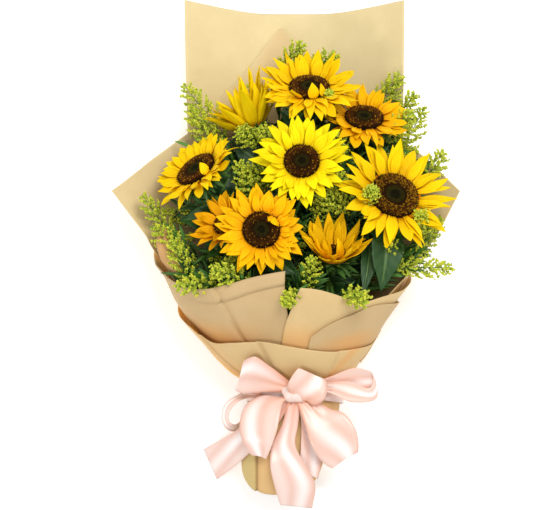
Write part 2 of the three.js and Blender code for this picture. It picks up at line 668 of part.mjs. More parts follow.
// ---------------------------------------------------------------- goldenrod
// Each spray: the stem that it lies against in the tie and on which side, in degrees from +X towards +Z, then
// its plumes as base, middle and tip with the plume's radius.
const SPRAYS = [
  { name: 'back', beside: ['b', -133], plumes: [
    { line: [[-4, 204, 36], [2, 228, 50], [18, 240, 60]], wide: 9 },
    { line: [[26, 204, 36], [40, 226, 52], [58, 222, 64]], wide: 9 }] },
  { name: 'back_left', beside: ['a', 198], plumes: [
    { line: [[-104, 124, 46], [-117, 158, 52], [-120, 194, 58]], wide: 10 }] },
  { name: 'left', beside: ['e', 180], plumes: [
    { line: [[-124, 10, 60], [-146, 36, 68], [-164, 62, 76]], wide: 8 }] },
  { name: 'back_right', beside: ['c', -10], plumes: [
    { line: [[92, 158, 34], [114, 188, 40], [131, 206, 50]], wide: 10 },
    { line: [[112, 140, 36], [132, 164, 48], [146, 182, 62]], wide: 9 }] },
  { name: 'right', beside: ['f', -42], plumes: [
    { line: [[118, 98, 50], [140, 132, 58], [156, 166, 64]], wide: 10 },
    { line: [[142, 66, 62], [164, 88, 78], [176, 108, 92]], wide: 9 }] },
  { name: 'middle_right', beside: ['h', 0], plumes: [
    { line: [[70, 34, 84], [62, 62, 106], [54, 76, 130]], wide: 9 },
    { line: [[56, 92, 82], [58, 108, 94], [58, 124, 106]], wide: 8 }] },
  { name: 'middle_left', beside: ['e', 0], plumes: [
    { line: [[-30, 46, 84], [-44, 66, 100], [-56, 92, 112]], wide: 10 },
    { line: [[-10, 104, 76], [-18, 126, 86], [-30, 134, 96]], wide: 9 }] },
  { name: 'centre', beside: ['g', 46], plumes: [
    { line: [[36, 22, 80], [38, 40, 96], [36, 54, 112]], wide: 7 },
    { line: [[-6, 26, 84], [-10, 40, 98], [-6, 52, 112]], wide: 6 }] },
  { name: 'front_left', beside: ['e', 130], plumes: [
    { line: [[-100, -26, 66], [-128, 0, 76], [-150, 24, 84]], wide: 11 },
    { line: [[-104, -46, 84], [-120, -24, 100], [-128, 4, 112]], wide: 9 }] },
  { name: 'front_low', beside: ['i', 150], plumes: [
    { line: [[-72, -48, 96], [-96, -46, 118], [-124, -54, 134]], wide: 9 },
    { line: [[-38, -52, 112], [-60, -42, 132], [-84, -36, 146]], wide: 10 }] },
  { name: 'front', beside: ['g', 105], plumes: [
    { line: [[8, -58, 116], [4, -66, 142], [-4, -76, 158]], wide: 6 },
    { line: [[18, -54, 108], [26, -38, 124], [28, -22, 138]], wide: 8 }] },
  { name: 'front_middle', beside: ['h', 75], plumes: [
    { line: [[62, -60, 112], [74, -62, 138], [86, -72, 154]], wide: 9 }] },
  { name: 'front_right', beside: ['f', 30], plumes: [
    { line: [[118, -26, 92], [152, -24, 98], [186, -26, 92]], wide: 9 },
    { line: [[134, -14, 70], [158, 6, 80], [174, 34, 86]], wide: 8 }] },
];
const PLUME_SIDES = 6;
const PLUME_ROWS = 7;

// A tapered plume whose surface is raised into clusters of florets, one row turned against the next.
function plumeSolid(curve, wide, seed) {
  const rings = [[curve.getPoint(0)]];
  const up = V(0.3, 0, 1);
  for (let row = 1; row <= PLUME_ROWS; row += 1) {
    const s = row / (PLUME_ROWS + 1);
    const centre = curve.getPoint(s);
    const ahead = curve.getTangent(s);
    const side = ahead.clone().cross(up).normalize();
    const over = side.clone().cross(ahead);
    const ring = [];
    for (let k = 0; k < PLUME_SIDES; k += 1) {
      const turn = (2 * Math.PI * k) / PLUME_SIDES;
      const raised = (row + k) % 2 ? 1.25 : 0.62;
      const taper = Math.sin(Math.PI * s ** 0.75) ** 0.8;
      const radius = wide * taper * raised * (1 + 0.15 * spread(row + 9 * k, seed));
      ring.push(centre.clone().addScaledVector(side, radius * Math.cos(turn))
        .addScaledVector(over, radius * Math.sin(turn)));
    }
    rings.push(ring);
  }
  rings.push([curve.getPoint(1)]);
  return loftSolid(rings);
}

function stalkCurve(from, base, ahead, shift) {
  const run = from.distanceTo(base);
  const lean = from.clone().add(V(0, 0.4 * run, 0)).add(shift);
  const near = base.clone().addScaledVector(ahead, -0.25 * run).add(shift);
  return new THREE.CubicBezierCurve3(from, lean, near, base);
}

// One spray, with its stalks bent aside by shift and its plumes scaled by size.
function spraySolid({ beside, plumes, name }, shift, size) {
  const [x, z] = tieBeside({ beside });
  const neck = V(x, NECK + 6, z);
  const solids = [];
  let trunk = null;
  plumes.forEach(({ line, wide }, k) => {
    const [base, middle, tip] = line.map((p) => V(...p));
    const curve = new THREE.QuadraticBezierCurve3(base, middle, tip);
    const inside = curve.getPoint(0.3);
    const start = trunk ? trunk.getPoint(0.55) : neck;
    const stalk = stalkCurve(start, inside, curve.getTangent(0.15), shift);
    const points = stalk.getPoints(trunk ? 5 : 7);
    if (!trunk) points.unshift(V(x, STEM_END + 10 * noise(x, z), z), V(x, NECK - 4, z));
    const path = new THREE.CatmullRomCurve3(points, false, 'centripetal');
    solids.push(tubeSolid(path, SPRIG, SPRIG_SIDES, trunk ? 5 : 8));
    solids.push(plumeSolid(curve, wide * size, name.length + 3 * k));
    trunk = trunk ?? stalk;
  });
  return fuse(solids);
}

const SPRAY_SHIFTS = [[0, 0, 0]];
for (let reach = 6; reach <= 18; reach += 6) {
  for (let k = 0; k < 8; k += 1) {
    SPRAY_SHIFTS.push([reach * Math.cos((k * Math.PI) / 4), 0, reach * Math.sin((k * Math.PI) / 4)]);
  }
}

// A spray is bent clear of what is already there, and only then made slimmer.
function clearSpray(spray, others) {
  for (const size of [1, 0.8, 0.6]) {
    for (const shift of SPRAY_SHIFTS) {
      const solid = spraySolid(spray, V(...shift), size);
      if (isClear(solid, others)) return solid;
    }
  }
  return null;
}

// ---------------------------------------------------------------- ribbon and twine
// A closed band: sections of the same number of points, joined end to end all the way round.
function ringSolid(sections) {
  const n = sections[0].length;
  const faces = [];
  sections.forEach((_, k) => {
    const here = k * n;
    const next = ((k + 1) % sections.length) * n;
    for (let i = 0; i < n; i += 1) {
      const j = (i + 1) % n;
      faces.push([here + i, next + i, next + j], [here + i, next + j, here + j]);
    }
  });
  return solidOf(sections.flat(), faces);
}

const BAND = { low: -170, high: -153, out: COLLAR_AT_NECK + PAPER + 2.7, edge: 1.4, middle: 1 };
const BINDING = { y: NECK + 2, x: TIE.x, z: TIE.z + 7.9, across: 23.4, up: 17.2, thick: 0.8, wide: 2.4 };

function bandSolid() {
  const { low, high, out, edge, middle } = BAND;
  const sections = [];
  for (let turn = 0; turn < 360; turn += 15) {
    const top = high + 0.5 * Math.sin(rad(3 * turn));
    const section = [[low, 0], [top, 0], [top, edge], [lerp(low, high, 0.53), middle], [low, edge]];
    sections.push(section.map(([y, off]) => offWrap(y, turn, out + off)));
  }
  return ringSolid(sections);
}

function twineSolid() {
  const { y, x, z, across, up, thick, wide } = BINDING;
  const sections = [];
  for (let turn = 0; turn < 360; turn += 20) {
    const [a, b] = [Math.cos(rad(turn)), Math.sin(rad(turn))];
    const ring = (out, off) => V(x + (across + out) * a, y + off, z + (up + out) * b);
    sections.push([ring(thick, 0), ring(0, wide), ring(-thick, 0), ring(0, -wide)]);
  }
  return ringSolid(sections);
}

// Height of the paper's outer face in front, under a point of the ribbon.
function frontHeight(x, y) {
  const [, middle, width] = wrapRow(y);
  const reach = clamp((x - middle) / width, -0.8, 0.8);
  const turn = 180 + Math.sign(reach) * THREE.MathUtils.radToDeg(Math.asin(Math.abs(reach) ** (ROUND / 2)));
  const out = lerp(COLLAR_AT_NECK, COLLAR.out, smooth(y, -152, -128)) + 2 * smooth(y, -160, -110);
  return offWrap(y, turn, out + PAPER).z;
}

// Both edges of each stretch of ribbon: [x, y, lift off the paper], or [x, y, 0, z] clear of the paper.
const BOW = {
  upper_left: [
    [[4, -152, 9], [-19, -137, 16], [-37, -127, 21], [-48, -131, 20], [-40, -131, 14], [-18, -139, 10],
      [2, -154, 6]],
    [[0, -162, 12], [-26, -163, 18], [-50, -165, 21], [-58, -160, 16], [-50, -162, 10], [-26, -162, 9],
      [-2, -163, 7]],
  ],
  upper_right: [
    [[14, -154, 8], [43, -152, 13], [68, -151, 17], [92, -158, 16], [96, -142, 11], [76, -136, 8],
      [46, -146, 9], [14, -157, 9]],
    [[12, -164, 10], [44, -163, 15], [72, -174, 19], [99, -170, 14], [100, -156, 8], [84, -158, 7],
      [48, -161, 9], [12, -165, 7]],
  ],
  middle: [
    [[0, -166, 8], [6, -152, 12], [12, -139, 16], [6, -146, 24], [0, -158, 24], [2, -166, 16]],
    [[26, -162, 8], [34, -152, 11], [42, -149, 17], [45, -158, 25], [41, -172, 26], [34, -179, 18]],
  ],
  lower_left: [
    [[-8, -170, 9], [-31, -166, 14], [-48, -180, 22], [-53, -206, 25], [-46, -224, 21], [-38, -232, 12],
      [-40, -214, 5], [-26, -190, 5], [-8, -174, 5]],
    [[4, -170, 11], [-4, -174, 16], [-8, -188, 24], [-12, -208, 28], [-18, -226, 24], [-24, -237, 13],
      [-20, -216, 5], [-8, -192, 5], [6, -174, 7]],
  ],
  lower_right: [
    [[10, -172, 9], [19, -198, 17], [28, -226, 21], [40, -241, 16], [50, -246, 10], [40, -232, 5],
      [26, -206, 5], [14, -178, 5]],
    [[24, -168, 12], [48, -181, 18], [63, -187, 24], [77, -208, 26], [78, -230, 20], [62, -222, 6],
      [48, -196, 5], [26, -174, 6]],
  ],
  tail_middle: [
    [[2, -168, 8], [-6, -198, 7], [-18, -226, 6], [-19, -246, 6], [-14, -268, 5], [-9, -286, 4]],
    [[16, -168, 8], [12, -198, 7], [4, -226, 6], [8, -246, 6], [18, -268, 5], [27, -292, 4]],
  ],
  tail_right: [
    [[8, -166, 10], [15, -192, 5], [15, -222, 5], [13, -250, 5]],
    [[24, -166, 10], [32, -190, 6], [40, -226, 8], [34, -258, 9]],
  ],
  tail_left: [
    [[-2, -164, 10], [-22, -178, 5], [-36, -188, 4], [-56, -202, 0, 48], [-76, -211, 0, 26],
      [-95, -219, 0, 4]],
    [[4, -176, 9], [-12, -200, 3], [-24, -216, 4], [-42, -229, 0, 54], [-60, -242, 0, 28],
      [-79, -253, 0, 4]],
  ],
};

const ribbonPoint = ([x, y, lift, z]) => V(x, y, z ?? frontHeight(x, y) + lift);

function ribbonSolid([left, right], steps) {
  const curve = (edge) => new THREE.CatmullRomCurve3(edge.map(ribbonPoint), false, 'centripetal');
  const [one, two] = [curve(left), curve(right)];
  const layers = [[], []];
  for (let k = 0; k <= steps; k += 1) {
    const [a, b] = [one.getPoint(k / steps), two.getPoint(k / steps)];
    const next = one.getTangent(k / steps).add(two.getTangent(k / steps));
    const face = next.cross(b.clone().sub(a)).normalize().multiplyScalar(SATIN / 2);
    layers[0].push([a.clone().add(face), b.clone().add(face)]);
    layers[1].push([a.clone().sub(face), b.clone().sub(face)]);
  }
  return sheetSolid(layers[0], layers[1]);
}

const KNOT = { x: 9, y: -164, lift: 11.6, size: [15, 11, 7] };

function knotSolid() {
  const { x, y, lift, size } = KNOT;
  const centre = V(x, y, frontHeight(x, y) + lift);
  const ball = new THREE.SphereGeometry(1, 8, 6);
  return solidOfGeometry(ball, (p) => p.multiply(V(...size)).add(centre));
}

const bowSolid = () => fuse([
  knotSolid(),
  ...Object.entries(BOW).map(([name, edges]) => ribbonSolid(edges, name.startsWith('tail') ? 7 : 10)),
]);

// ---------------------------------------------------------------- materials and the assembly
const KRAFT = { color: 0xd8b57a, roughness: 0.85, metalness: 0 };
const DISC = { color: 0x35210f, roughness: 0.9, metalness: 0 };
const LEAF = { color: GREEN, roughness: 0.7, metalness: 0 };
const GOLDENROD = { color: 0xa9b833, roughness: 0.8, metalness: 0 };
const PINK = { color: 0xf6d3c6, roughness: 0.35, metalness: 0 };
const TWINE = { color: 0xb59c6a, roughness: 0.9, metalness: 0 };

const bunch = new THREE.Group();
const placed = {};

function addPiece(name, solid, look) {
  const mesh = new THREE.Mesh(geometryOf(solid), new THREE.MeshStandardMaterial(look));
  mesh.name = name;
  bunch.add(mesh);
  placed[name] = solid;
}

addPiece('paper_back_sheet', backSheet(), KRAFT);
addPiece('paper_inner_sheet', innerSheet(), KRAFT);
addPiece('paper_front_left', frontSheet(FRONT_LEFT, 4), KRAFT);
addPiece('paper_front_right', frontSheet(FRONT_RIGHT, 4), KRAFT);
addPiece('paper_front_lower', frontSheet(FRONT_LOWER, 3), KRAFT);
addPiece('paper_collar', collarSheet(), KRAFT);
addPiece('ribbon_band', bandSolid(), PINK);
addPiece('ribbon_bow', bowSolid(), PINK);
addPiece('binding_twine', twineSolid(), TWINE);

const greens = {};
BLOOMS.forEach((bloom) => {
  addPiece(`sunflower_${bloom.name}_disc`, discSolid(bloom), DISC);
  greens[bloom.name] = fuse([calyxSolid(bloom), stemSolid(bloom)]);
});
BLOOMS.forEach((bloom) => {
  const petals = { color: bloom.hue, roughness: 0.6, metalness: 0 };
  const others = [...Object.values(placed), ...Object.values(greens)];
  addPiece(`sunflower_${bloom.name}_petals`, petalRing(bloom, others), petals);
});
LEAVES.forEach((leaf) => {
  const bloom = BLOOMS.find(({ name }) => name === leaf.on);
  const from = stemCurve(bloom).curves[1].getPoint(leaf.share);
  const blade = leafSolid({ ...leaf, from });
  const others = Object.entries(greens).filter(([name]) => name !== leaf.on).map(([, solid]) => solid);
  if (isClear(blade, [...Object.values(placed), ...others])) greens[leaf.on] = fuse([greens[leaf.on], blade]);
});
Object.entries(greens).forEach(([name, solid]) => addPiece(`sunflower_${name}_stem`, solid, LEAF));
SPRAYS.forEach((spray) => {
  const solid = clearSpray(spray, Object.values(placed));
  if (solid) addPiece(`goldenrod_${spray.name}`, solid, GOLDENROD);
});

export default bunch;
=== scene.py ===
"""Looks of a hand-tied bunch of sunflowers and goldenrod, in kraft paper tied with a satin ribbon.

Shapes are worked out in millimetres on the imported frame's axes and become metres when a mesh is made.
"""
import math
from functools import lru_cache

import bmesh
import bpy
import numpy as np
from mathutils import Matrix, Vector
from mathutils.kdtree import KDTree


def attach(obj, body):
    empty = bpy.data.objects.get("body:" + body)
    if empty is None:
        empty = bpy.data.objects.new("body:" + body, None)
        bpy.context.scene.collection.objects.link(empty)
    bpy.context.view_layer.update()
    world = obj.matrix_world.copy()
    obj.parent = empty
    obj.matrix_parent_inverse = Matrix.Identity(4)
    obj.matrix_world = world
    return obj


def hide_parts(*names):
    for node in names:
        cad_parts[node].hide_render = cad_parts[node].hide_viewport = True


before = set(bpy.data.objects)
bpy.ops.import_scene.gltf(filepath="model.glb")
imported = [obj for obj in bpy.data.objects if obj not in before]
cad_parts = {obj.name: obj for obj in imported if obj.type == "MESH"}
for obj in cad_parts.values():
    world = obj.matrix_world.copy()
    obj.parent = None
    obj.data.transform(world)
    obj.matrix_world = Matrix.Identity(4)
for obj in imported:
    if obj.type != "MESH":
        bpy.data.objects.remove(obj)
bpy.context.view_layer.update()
MM = 0.001

# ---------------------------------------------------------------- driving dimensions, as in the CAD source
PAPER = 0.7
CLEAR = 0.4
STEM = 4.2
SPRIG = 1.5
STEM_END = -238
NECK = -158
TIE_X, TIE_Z, TIE_PITCH = 9, 21.3, 8.3
FLAT = 35
STEM_SIDES = 5
SPRIG_SIDES = 4


# ---------------------------------------------------------------- small mathematics
def vec(*values):
    return np.array(values, float)


def unit(v):
    return v / max(np.linalg.norm(v), 1e-12)


def lerp(a, b, t):
    return a + (b - a) * t


def clamp(x, low=0.0, high=1.0):
    return min(high, max(low, x))


def smooth(x, low, high):
    t = clamp((x - low) / (high - low))
    return t * t * (3 - 2 * t)


def bell(x, middle, width):
    return math.exp(-((x - middle) / width) ** 2)


def noise(i, j):
    v = math.sin(i * 12.9898 + j * 78.233) * 43758.5453
    return v - math.floor(v)


def spread(i, j):
    return 2 * noise(i, j) - 1


def linear(code):
    """A colour written as 0xrrggbb, as the linear values that shaders use."""
    parts = [(code >> shift & 255) / 255 for shift in (16, 8, 0)]
    return vec(*[c / 12.92 if c <= 0.04045 else ((c + 0.055) / 1.055) ** 2.4 for c in parts])


def catmull(points, t):
    """A point of the centripetal Catmull-Rom curve through the points, t from 0 to 1 in equal shares."""
    last = len(points) - 1
    place = last * clamp(t)
    k = min(int(place), last - 1)
    w = place - k
    p1, p2 = points[k], points[k + 1]
    p0 = points[k - 1] if k > 0 else 2 * p1 - p2
    p3 = points[k + 2] if k + 2 <= last else 2 * p2 - p1
    d0, d1, d2 = (math.sqrt(np.linalg.norm(b - a)) for a, b in ((p0, p1), (p1, p2), (p2, p3)))
    d1 = d1 if d1 > 1e-4 else 1.0
    d0 = d0 if d0 > 1e-4 else d1
    d2 = d2 if d2 > 1e-4 else d1
    t1 = ((p1 - p0) / d0 - (p2 - p0) / (d0 + d1) + (p2 - p1) / d1) * d1
    t2 = ((p2 - p1) / d1 - (p3 - p1) / (d1 + d2) + (p3 - p2) / d2) * d1
    return p1 + t1 * w + (3 * (p2 - p1) - 2 * t1 - t2) * w * w + (2 * (p1 - p2) + t1 + t2) * w ** 3


def quadratic(a, b, c, t):
    return (1 - t) ** 2 * a + 2 * t * (1 - t) * b + t * t * c


def cubic(a, b, c, d, t):
    return (1 - t) ** 3 * a + 3 * (1 - t) ** 2 * t * b + 3 * (1 - t) * t * t * c + t ** 3 * d


def curve_through(points, steps):
    return [catmull(points, k / steps) for k in range(steps + 1)]


def arc(a, b, c, count):
    return [quadratic(a, b, c, t) for t in np.linspace(0, 1, count)]


def at_share(points, t):
    """The point at a share of a line of equal steps, or its last point past the end."""
    if t >= 1:
        return points[-1]
    n, rest = divmod(t * (len(points) - 1), 1)
    return points[int(n)] + (points[int(n) + 1] - points[int(n)]) * rest


def aside(side, over, turn):
    """The direction at a turn round a line, from the line's side and over directions."""
    return side * math.cos(turn) + over * math.sin(turn)


def spaced(line, count):
    """Points at equal distances along a broken line."""
    line = np.array(line)
    steps = np.linalg.norm(np.diff(line, axis=0), axis=1)
    length = np.concatenate([[0], np.cumsum(steps)])
    want = np.linspace(0, length[-1], count)
    return np.stack([np.interp(want, length, line[:, k]) for k in range(3)], axis=1)


# ---------------------------------------------------------------- meshes
class Shape:
    """Points, faces and a tint for each point, gathered into one mesh."""

    def __init__(self):
        self.points, self.faces, self.tints, self.count = [], [], [], 0

    def add(self, points, faces, tint):
        points = np.asarray(points, float).reshape(-1, 3)
        self.points.append(points)
        self.faces.extend((np.asarray(faces) + self.count).tolist())
        self.tints.append(np.broadcast_to(np.asarray(tint, float), points.shape))
        self.count += len(points)

    def scatter(self, points, faces, places, tints):
        """Copies of one small form: places are (origin, 3 by 3 axes as rows) and tints one colour each."""
        points, faces = np.asarray(points, float), np.asarray(faces)
        for (origin, axes), tint in zip(places, tints):
            self.points.append(points @ axes + origin)
            self.tints.append(np.broadcast_to(tint, points.shape))
        n = len(points)
        starts = self.count + n * np.arange(len(places))
        self.faces.extend((faces[None] + starts[:, None, None]).reshape(-1, faces.shape[1]).tolist())
        self.count += n * len(places)


def grid_faces(rows, columns, closed=False):
    faces = []
    for r in range(rows - 1):
        for c in range(columns if closed else columns - 1):
            a, b = r * columns + c, r * columns + (c + 1) % columns
            faces.append([a, b, b + columns, a + columns])
    return faces


def add_sheet(shape, inner, outer, tint):
    """A thin closed sheet between two grids of points of the same rows and columns."""
    rows, columns = inner.shape[:2]
    half = rows * columns
    faces = [f[::-1] for f in grid_faces(rows, columns)]
    faces += [[i + half for i in f] for f in grid_faces(rows, columns)]
    rim = list(range(columns - 1))
    rim += [r * columns + columns - 1 for r in range(rows - 1)]
    rim += [(rows - 1) * columns + c for c in range(columns - 1, 0, -1)]
    rim += [r * columns for r in range(rows - 1, 0, -1)]
    for p, q in zip(rim, rim[1:] + rim[:1]):
        faces.append([p, q, q + half, p + half])
    shape.add(np.concatenate([inner.reshape(-1, 3), outer.reshape(-1, 3)]), faces, tint)


def add_blade(shape, points, rows, tints, thick):
    """A thin closed blade round rows of points: thickest in its middle, sharp at its edges."""
    grid = np.reshape(points, (rows, -1, 3))
    normal = np.cross(np.gradient(grid, axis=0), np.gradient(grid, axis=1))
    normal /= np.maximum(np.linalg.norm(normal, axis=2), 1e-9)[:, :, None]
    taper = 0.25 + 0.75 * (1 - np.linspace(-1, 1, grid.shape[1]) ** 2)
    half = 0.5 * thick * taper[None, :, None] * normal
    tints = np.clip(tints, 0, 1)
    add_sheet(shape, grid - half, grid + half, np.concatenate([tints, tints]))


def frames_along(line):
    """A side and an over direction at each point of a line, turned as little as possible along it."""
    ahead = np.gradient(np.array(line), axis=0)
    ahead /= np.linalg.norm(ahead, axis=1)[:, None]
    side = unit(np.cross(ahead[0], vec(0.2, 0.1, 1)))
    sides, overs = [], []
    for t in ahead:
        side = unit(side - t * side.dot(t))
        sides.append(side)
        overs.append(np.cross(side, t))
    return np.array(sides), np.array(overs)


def add_tube(shape, line, radii, sides, tint):
    """A closed tube round a line, with one radius or a radius for each point."""
    line = np.array(line)
    side, over = frames_along(line)
    turns = 2 * np.pi * np.arange(sides) / sides
    radii = np.broadcast_to(radii, len(line))
    around = np.cos(turns)[None, :, None] * side[:, None] + np.sin(turns)[None, :, None] * over[:, None]
    rings = line[:, None] + radii[:, None, None] * around
    shape.add(rings, grid_faces(len(line), sides, closed=True), tint)
    cap = [[(k + 1) % sides, k, sides] for k in range(sides)]
    shape.add(np.concatenate([rings[0], line[:1]]), cap, tint)
    shape.add(np.concatenate([rings[-1], line[-1:]]), [[b, a, c] for a, b, c in cap], tint)


def make_piece(name, shape, material, nodes, tidy_normals=False):
    """One visible piece, which rides on the body and takes the place of the nodes."""
    mesh = bpy.data.meshes.new(name)
    points = np.concatenate(shape.points) * MM
    mesh.from_pydata(points.tolist(), [], shape.faces)
    tint = np.ones((len(points), 4))
    tint[:, :3] = np.concatenate(shape.tints)
    mesh.color_attributes.new("tint", "FLOAT_COLOR", "POINT").data.foreach_set("color", tint.ravel())
    if tidy_normals:
        work = bmesh.new()
        work.from_mesh(mesh)
        bmesh.ops.recalc_face_normals(work, faces=work.faces)
        work.to_mesh(mesh)
        work.free()
    mesh.shade_smooth()
    mesh.materials.append(material)
    piece = bpy.data.objects.new(name, mesh)
    bpy.context.scene.collection.objects.link(piece)
    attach(piece, "root")
    if nodes:
        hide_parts(*nodes)
    return piece


def node_tree(node):
    """A search tree over the points of a CAD node, in millimetres."""
    co = [v.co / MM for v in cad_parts[node].data.vertices]
    tree = KDTree(len(co))
    for k, p in enumerate(co):
        tree.insert(p, k)
    tree.balance()
    return tree


def miss(tree, point):
    return tree.find(Vector(point))[2]


# ---------------------------------------------------------------- materials
WHITE = (1, 1, 1)


def new_material(name, roughness, specular=0.5, sheen=0.0):
    material = bpy.data.materials.new(name)
    material.use_nodes = True
    tree = material.node_tree
    shader = tree.nodes["Principled BSDF"]
    shader.inputs["Roughness"].default_value = roughness
    shader.inputs["Specular IOR Level"].default_value = specular
    shader.inputs["Sheen Weight"].default_value = sheen
    return material, tree, shader


def add_node(tree, kind, **values):
    made = tree.nodes.new(kind)
    for key, value in values.items():
        if key in made.inputs:
            made.inputs[key].default_value = value
        else:
            setattr(made, key, value)
    return made


def place_node(tree, scale=(1, 1, 1)):
    """Object coordinates, stretched: the pieces sit in the frame, so these are metres on the part."""
    coordinates = tree.nodes.new("ShaderNodeTexCoord")
    mapping = tree.nodes.new("ShaderNodeMapping")
    mapping.inputs["Scale"].default_value = scale
    tree.links.new(coordinates.outputs["Object"], mapping.inputs["Vector"])
    return mapping.outputs["Vector"]


def noise_node(tree, vector, scale, detail=3.0):
    made = add_node(tree, "ShaderNodeTexNoise", Scale=scale, Detail=detail)
    tree.links.new(vector, made.inputs["Vector"])
    return made.outputs["Fac"]


def ramp(tree, factor, stops):
    made = tree.nodes.new("ShaderNodeValToRGB")
    for element, (position, colour) in zip(made.color_ramp.elements, stops):
        element.position = position
        element.color = (*colour, 1)
    tree.links.new(factor, made.inputs["Fac"])
    return made.outputs["Color"]


def multiply(tree, a, b):
    made = tree.nodes.new("ShaderNodeMix")
    made.data_type = "RGBA"
    made.blend_type = "MULTIPLY"
    made.inputs[0].default_value = 1.0
    tree.links.new(a, made.inputs[6])
    tree.links.new(b, made.inputs[7])
    return made.outputs[2]


def tint_of(tree):
    return add_node(tree, "ShaderNodeAttribute", attribute_name="tint").outputs["Color"]


def bump(tree, shader, height, strength, distance):
    made = add_node(tree, "ShaderNodeBump", Strength=strength, Distance=distance)
    tree.links.new(height, made.inputs["Height"])
    tree.links.new(made.outputs["Normal"], shader.inputs["Normal"])


def kraft_material():
    material, tree, shader = new_material("kraft_paper", 0.72, specular=0.25)
    broad = noise_node(tree, place_node(tree), scale=26, detail=4)
    fibres = noise_node(tree, place_node(tree, scale=(1, 7, 1)), scale=420, detail=5)
    mottle = ramp(tree, broad, [(0.3, (0.93, 0.92, 0.90)), (0.7, WHITE)])
    grain = ramp(tree, fibres, [(0.3, (0.93, 0.92, 0.89)), (0.7, WHITE)])
    colour = multiply(tree, multiply(tree, tint_of(tree), mottle), grain)
    tree.links.new(colour, shader.inputs["Base Color"])
    bump(tree, shader, fibres, strength=0.22, distance=0.0005)
    return material


def satin_material():
    material, tree, shader = new_material("satin", 0.3, specular=0.6, sheen=0.25)
    weave = add_node(tree, "ShaderNodeTexWave", Scale=380.0, Distortion=0.6)
    tree.links.new(place_node(tree), weave.inputs["Vector"])
    soft = ramp(tree, weave.outputs["Fac"], [(0.0, (0.975, 0.97, 0.97)), (1.0, WHITE)])
    tree.links.new(multiply(tree, tint_of(tree), soft), shader.inputs["Base Color"])
    bump(tree, shader, weave.outputs["Fac"], strength=0.1, distance=0.0002)
    return material


def plant_material(name, roughness, scale, low, strength, specular=0.4):
    """Plant tissue: its tint, darkened to low by fine noise that also gives its bump."""
    material, tree, shader = new_material(name, roughness, specular)
    grain = noise_node(tree, place_node(tree), scale, detail=4)
    mottle = ramp(tree, grain, [(0.3, low), (0.7, WHITE)])
    tree.links.new(multiply(tree, tint_of(tree), mottle), shader.inputs["Base Color"])
    bump(tree, shader, grain, strength, distance=0.0004)
    return material


KRAFT = kraft_material()
SATIN_LOOK = satin_material()
PETAL = plant_material("petal", 0.62, 320, (0.94, 0.92, 0.85), 0.2, specular=0.08)
SEED = plant_material("seed_disc", 0.9, 900, (0.7, 0.68, 0.6), 0.4, specular=0.06)
GREEN = plant_material("leaf_green", 0.45, 240, (0.8, 0.85, 0.75), 0.35)
FLORET = plant_material("goldenrod_floret", 0.6, 700, (0.85, 0.88, 0.8), 0.2)
JUTE = plant_material("jute", 0.9, 1200, (0.7, 0.68, 0.62), 0.6)

PAPER_TINT = linear(0xDABC88)
# painted shade: the paper's tint darkened for the left and lower front sheets and the roll, which take less
# light
PAPER_SHADED = linear(0xCBAE80)
PAPER_LIT = linear(0xFFC868)
# painted shade: the dark brown laid along creases and the seam, and inside the roll
CREASE_SHADE = linear(0x8A6234)
BACK_TINT = linear(0xE6D2A0)
INNER_TINT = linear(0xE2CA98)
SKIRT_TINT = linear(0xCFB679)
# painted warm light that the sheets throw back on each other: near the feet of the front sheets and in
# their folds, low on the inner sheet, on the skirt and in the roll
PAPER_GLOW = linear(0xE39A4A)
RIBBON_TINT = linear(0xEDD3C8)
# painted highlight along the crests of the satin
RIBBON_HIGHLIGHT = linear(0xFFF8F5)
RIBBON_SHADE = linear(0xE2B5A4)
# painted shade where the satin goes into the knot and at its edges
RIBBON_PEACH_SHADE = linear(0xEDA27C)

# ---------------------------------------------------------------- the wrap that all the paper follows
# y, middle x, half-width, lowest z, z of the widest point, top z, how far the sides close into a tube
WRAP = np.array([
    [-290, -9, 38, 2.4, 16, 32, 1],
    [-242, -6, 42, 2.2, 26, 59, 1],
    [-194, 3, 50, 3.2, 28, 61, 1],
    [-160, 9, 47, 9.4, 36, 63, 1],
    [-110, 3, 84, 6.5, 44, 100, 1],
    [-60, -1, 120, 3.4, 52, 136, 0.9],
    [-20, 3, 143, 2.2, 54, 146, 0.3],
    [10, 3, 164, 1.9, 58, 148, 0],
    [66, 0, 202, 1.9, 64, 150, 0],
    [140, 8, 166, 1.9, 60, 150, 0],
    [200, 9, 142, 1.9, 58, 150, 0],
    [292, 9, 136, 1.9, 60, 150, 0],
], float)
WRAP_SLOPES = np.diff(WRAP, axis=0) / np.diff(WRAP[:, 0])[:, None]
ROUND = 2.3  # exponent of the oval that the front of the wrap follows


def knot_slopes():
    """Slopes of the wrap's columns at its rows, which never carry a column past its neighbouring values."""
    before, after = WRAP_SLOPES[:-1], WRAP_SLOPES[1:]
    total = np.where(before + after == 0, 1, before + after)
    inside = np.where(before * after <= 0, 0, 2 * before * after / total)
    return np.concatenate([WRAP_SLOPES[:1], inside, WRAP_SLOPES[-1:]])


WRAP_KNOTS = knot_slopes()


@lru_cache(maxsize=None)
def wrap_row(y):
    k = int(clamp(np.searchsorted(WRAP[:, 0], y) - 1, 0, len(WRAP) - 2))
    step = WRAP[k + 1][0] - WRAP[k][0]
    t = clamp((y - WRAP[k][0]) / step)
    low, high = 2 * t ** 3 - 3 * t ** 2 + 1, 3 * t ** 2 - 2 * t ** 3
    bend = (t ** 3 - 2 * t ** 2 + t) * WRAP_KNOTS[k] + (t ** 3 - t ** 2) * WRAP_KNOTS[k + 1]
    return tuple(low * WRAP[k] + high * WRAP[k + 1] + step * bend)


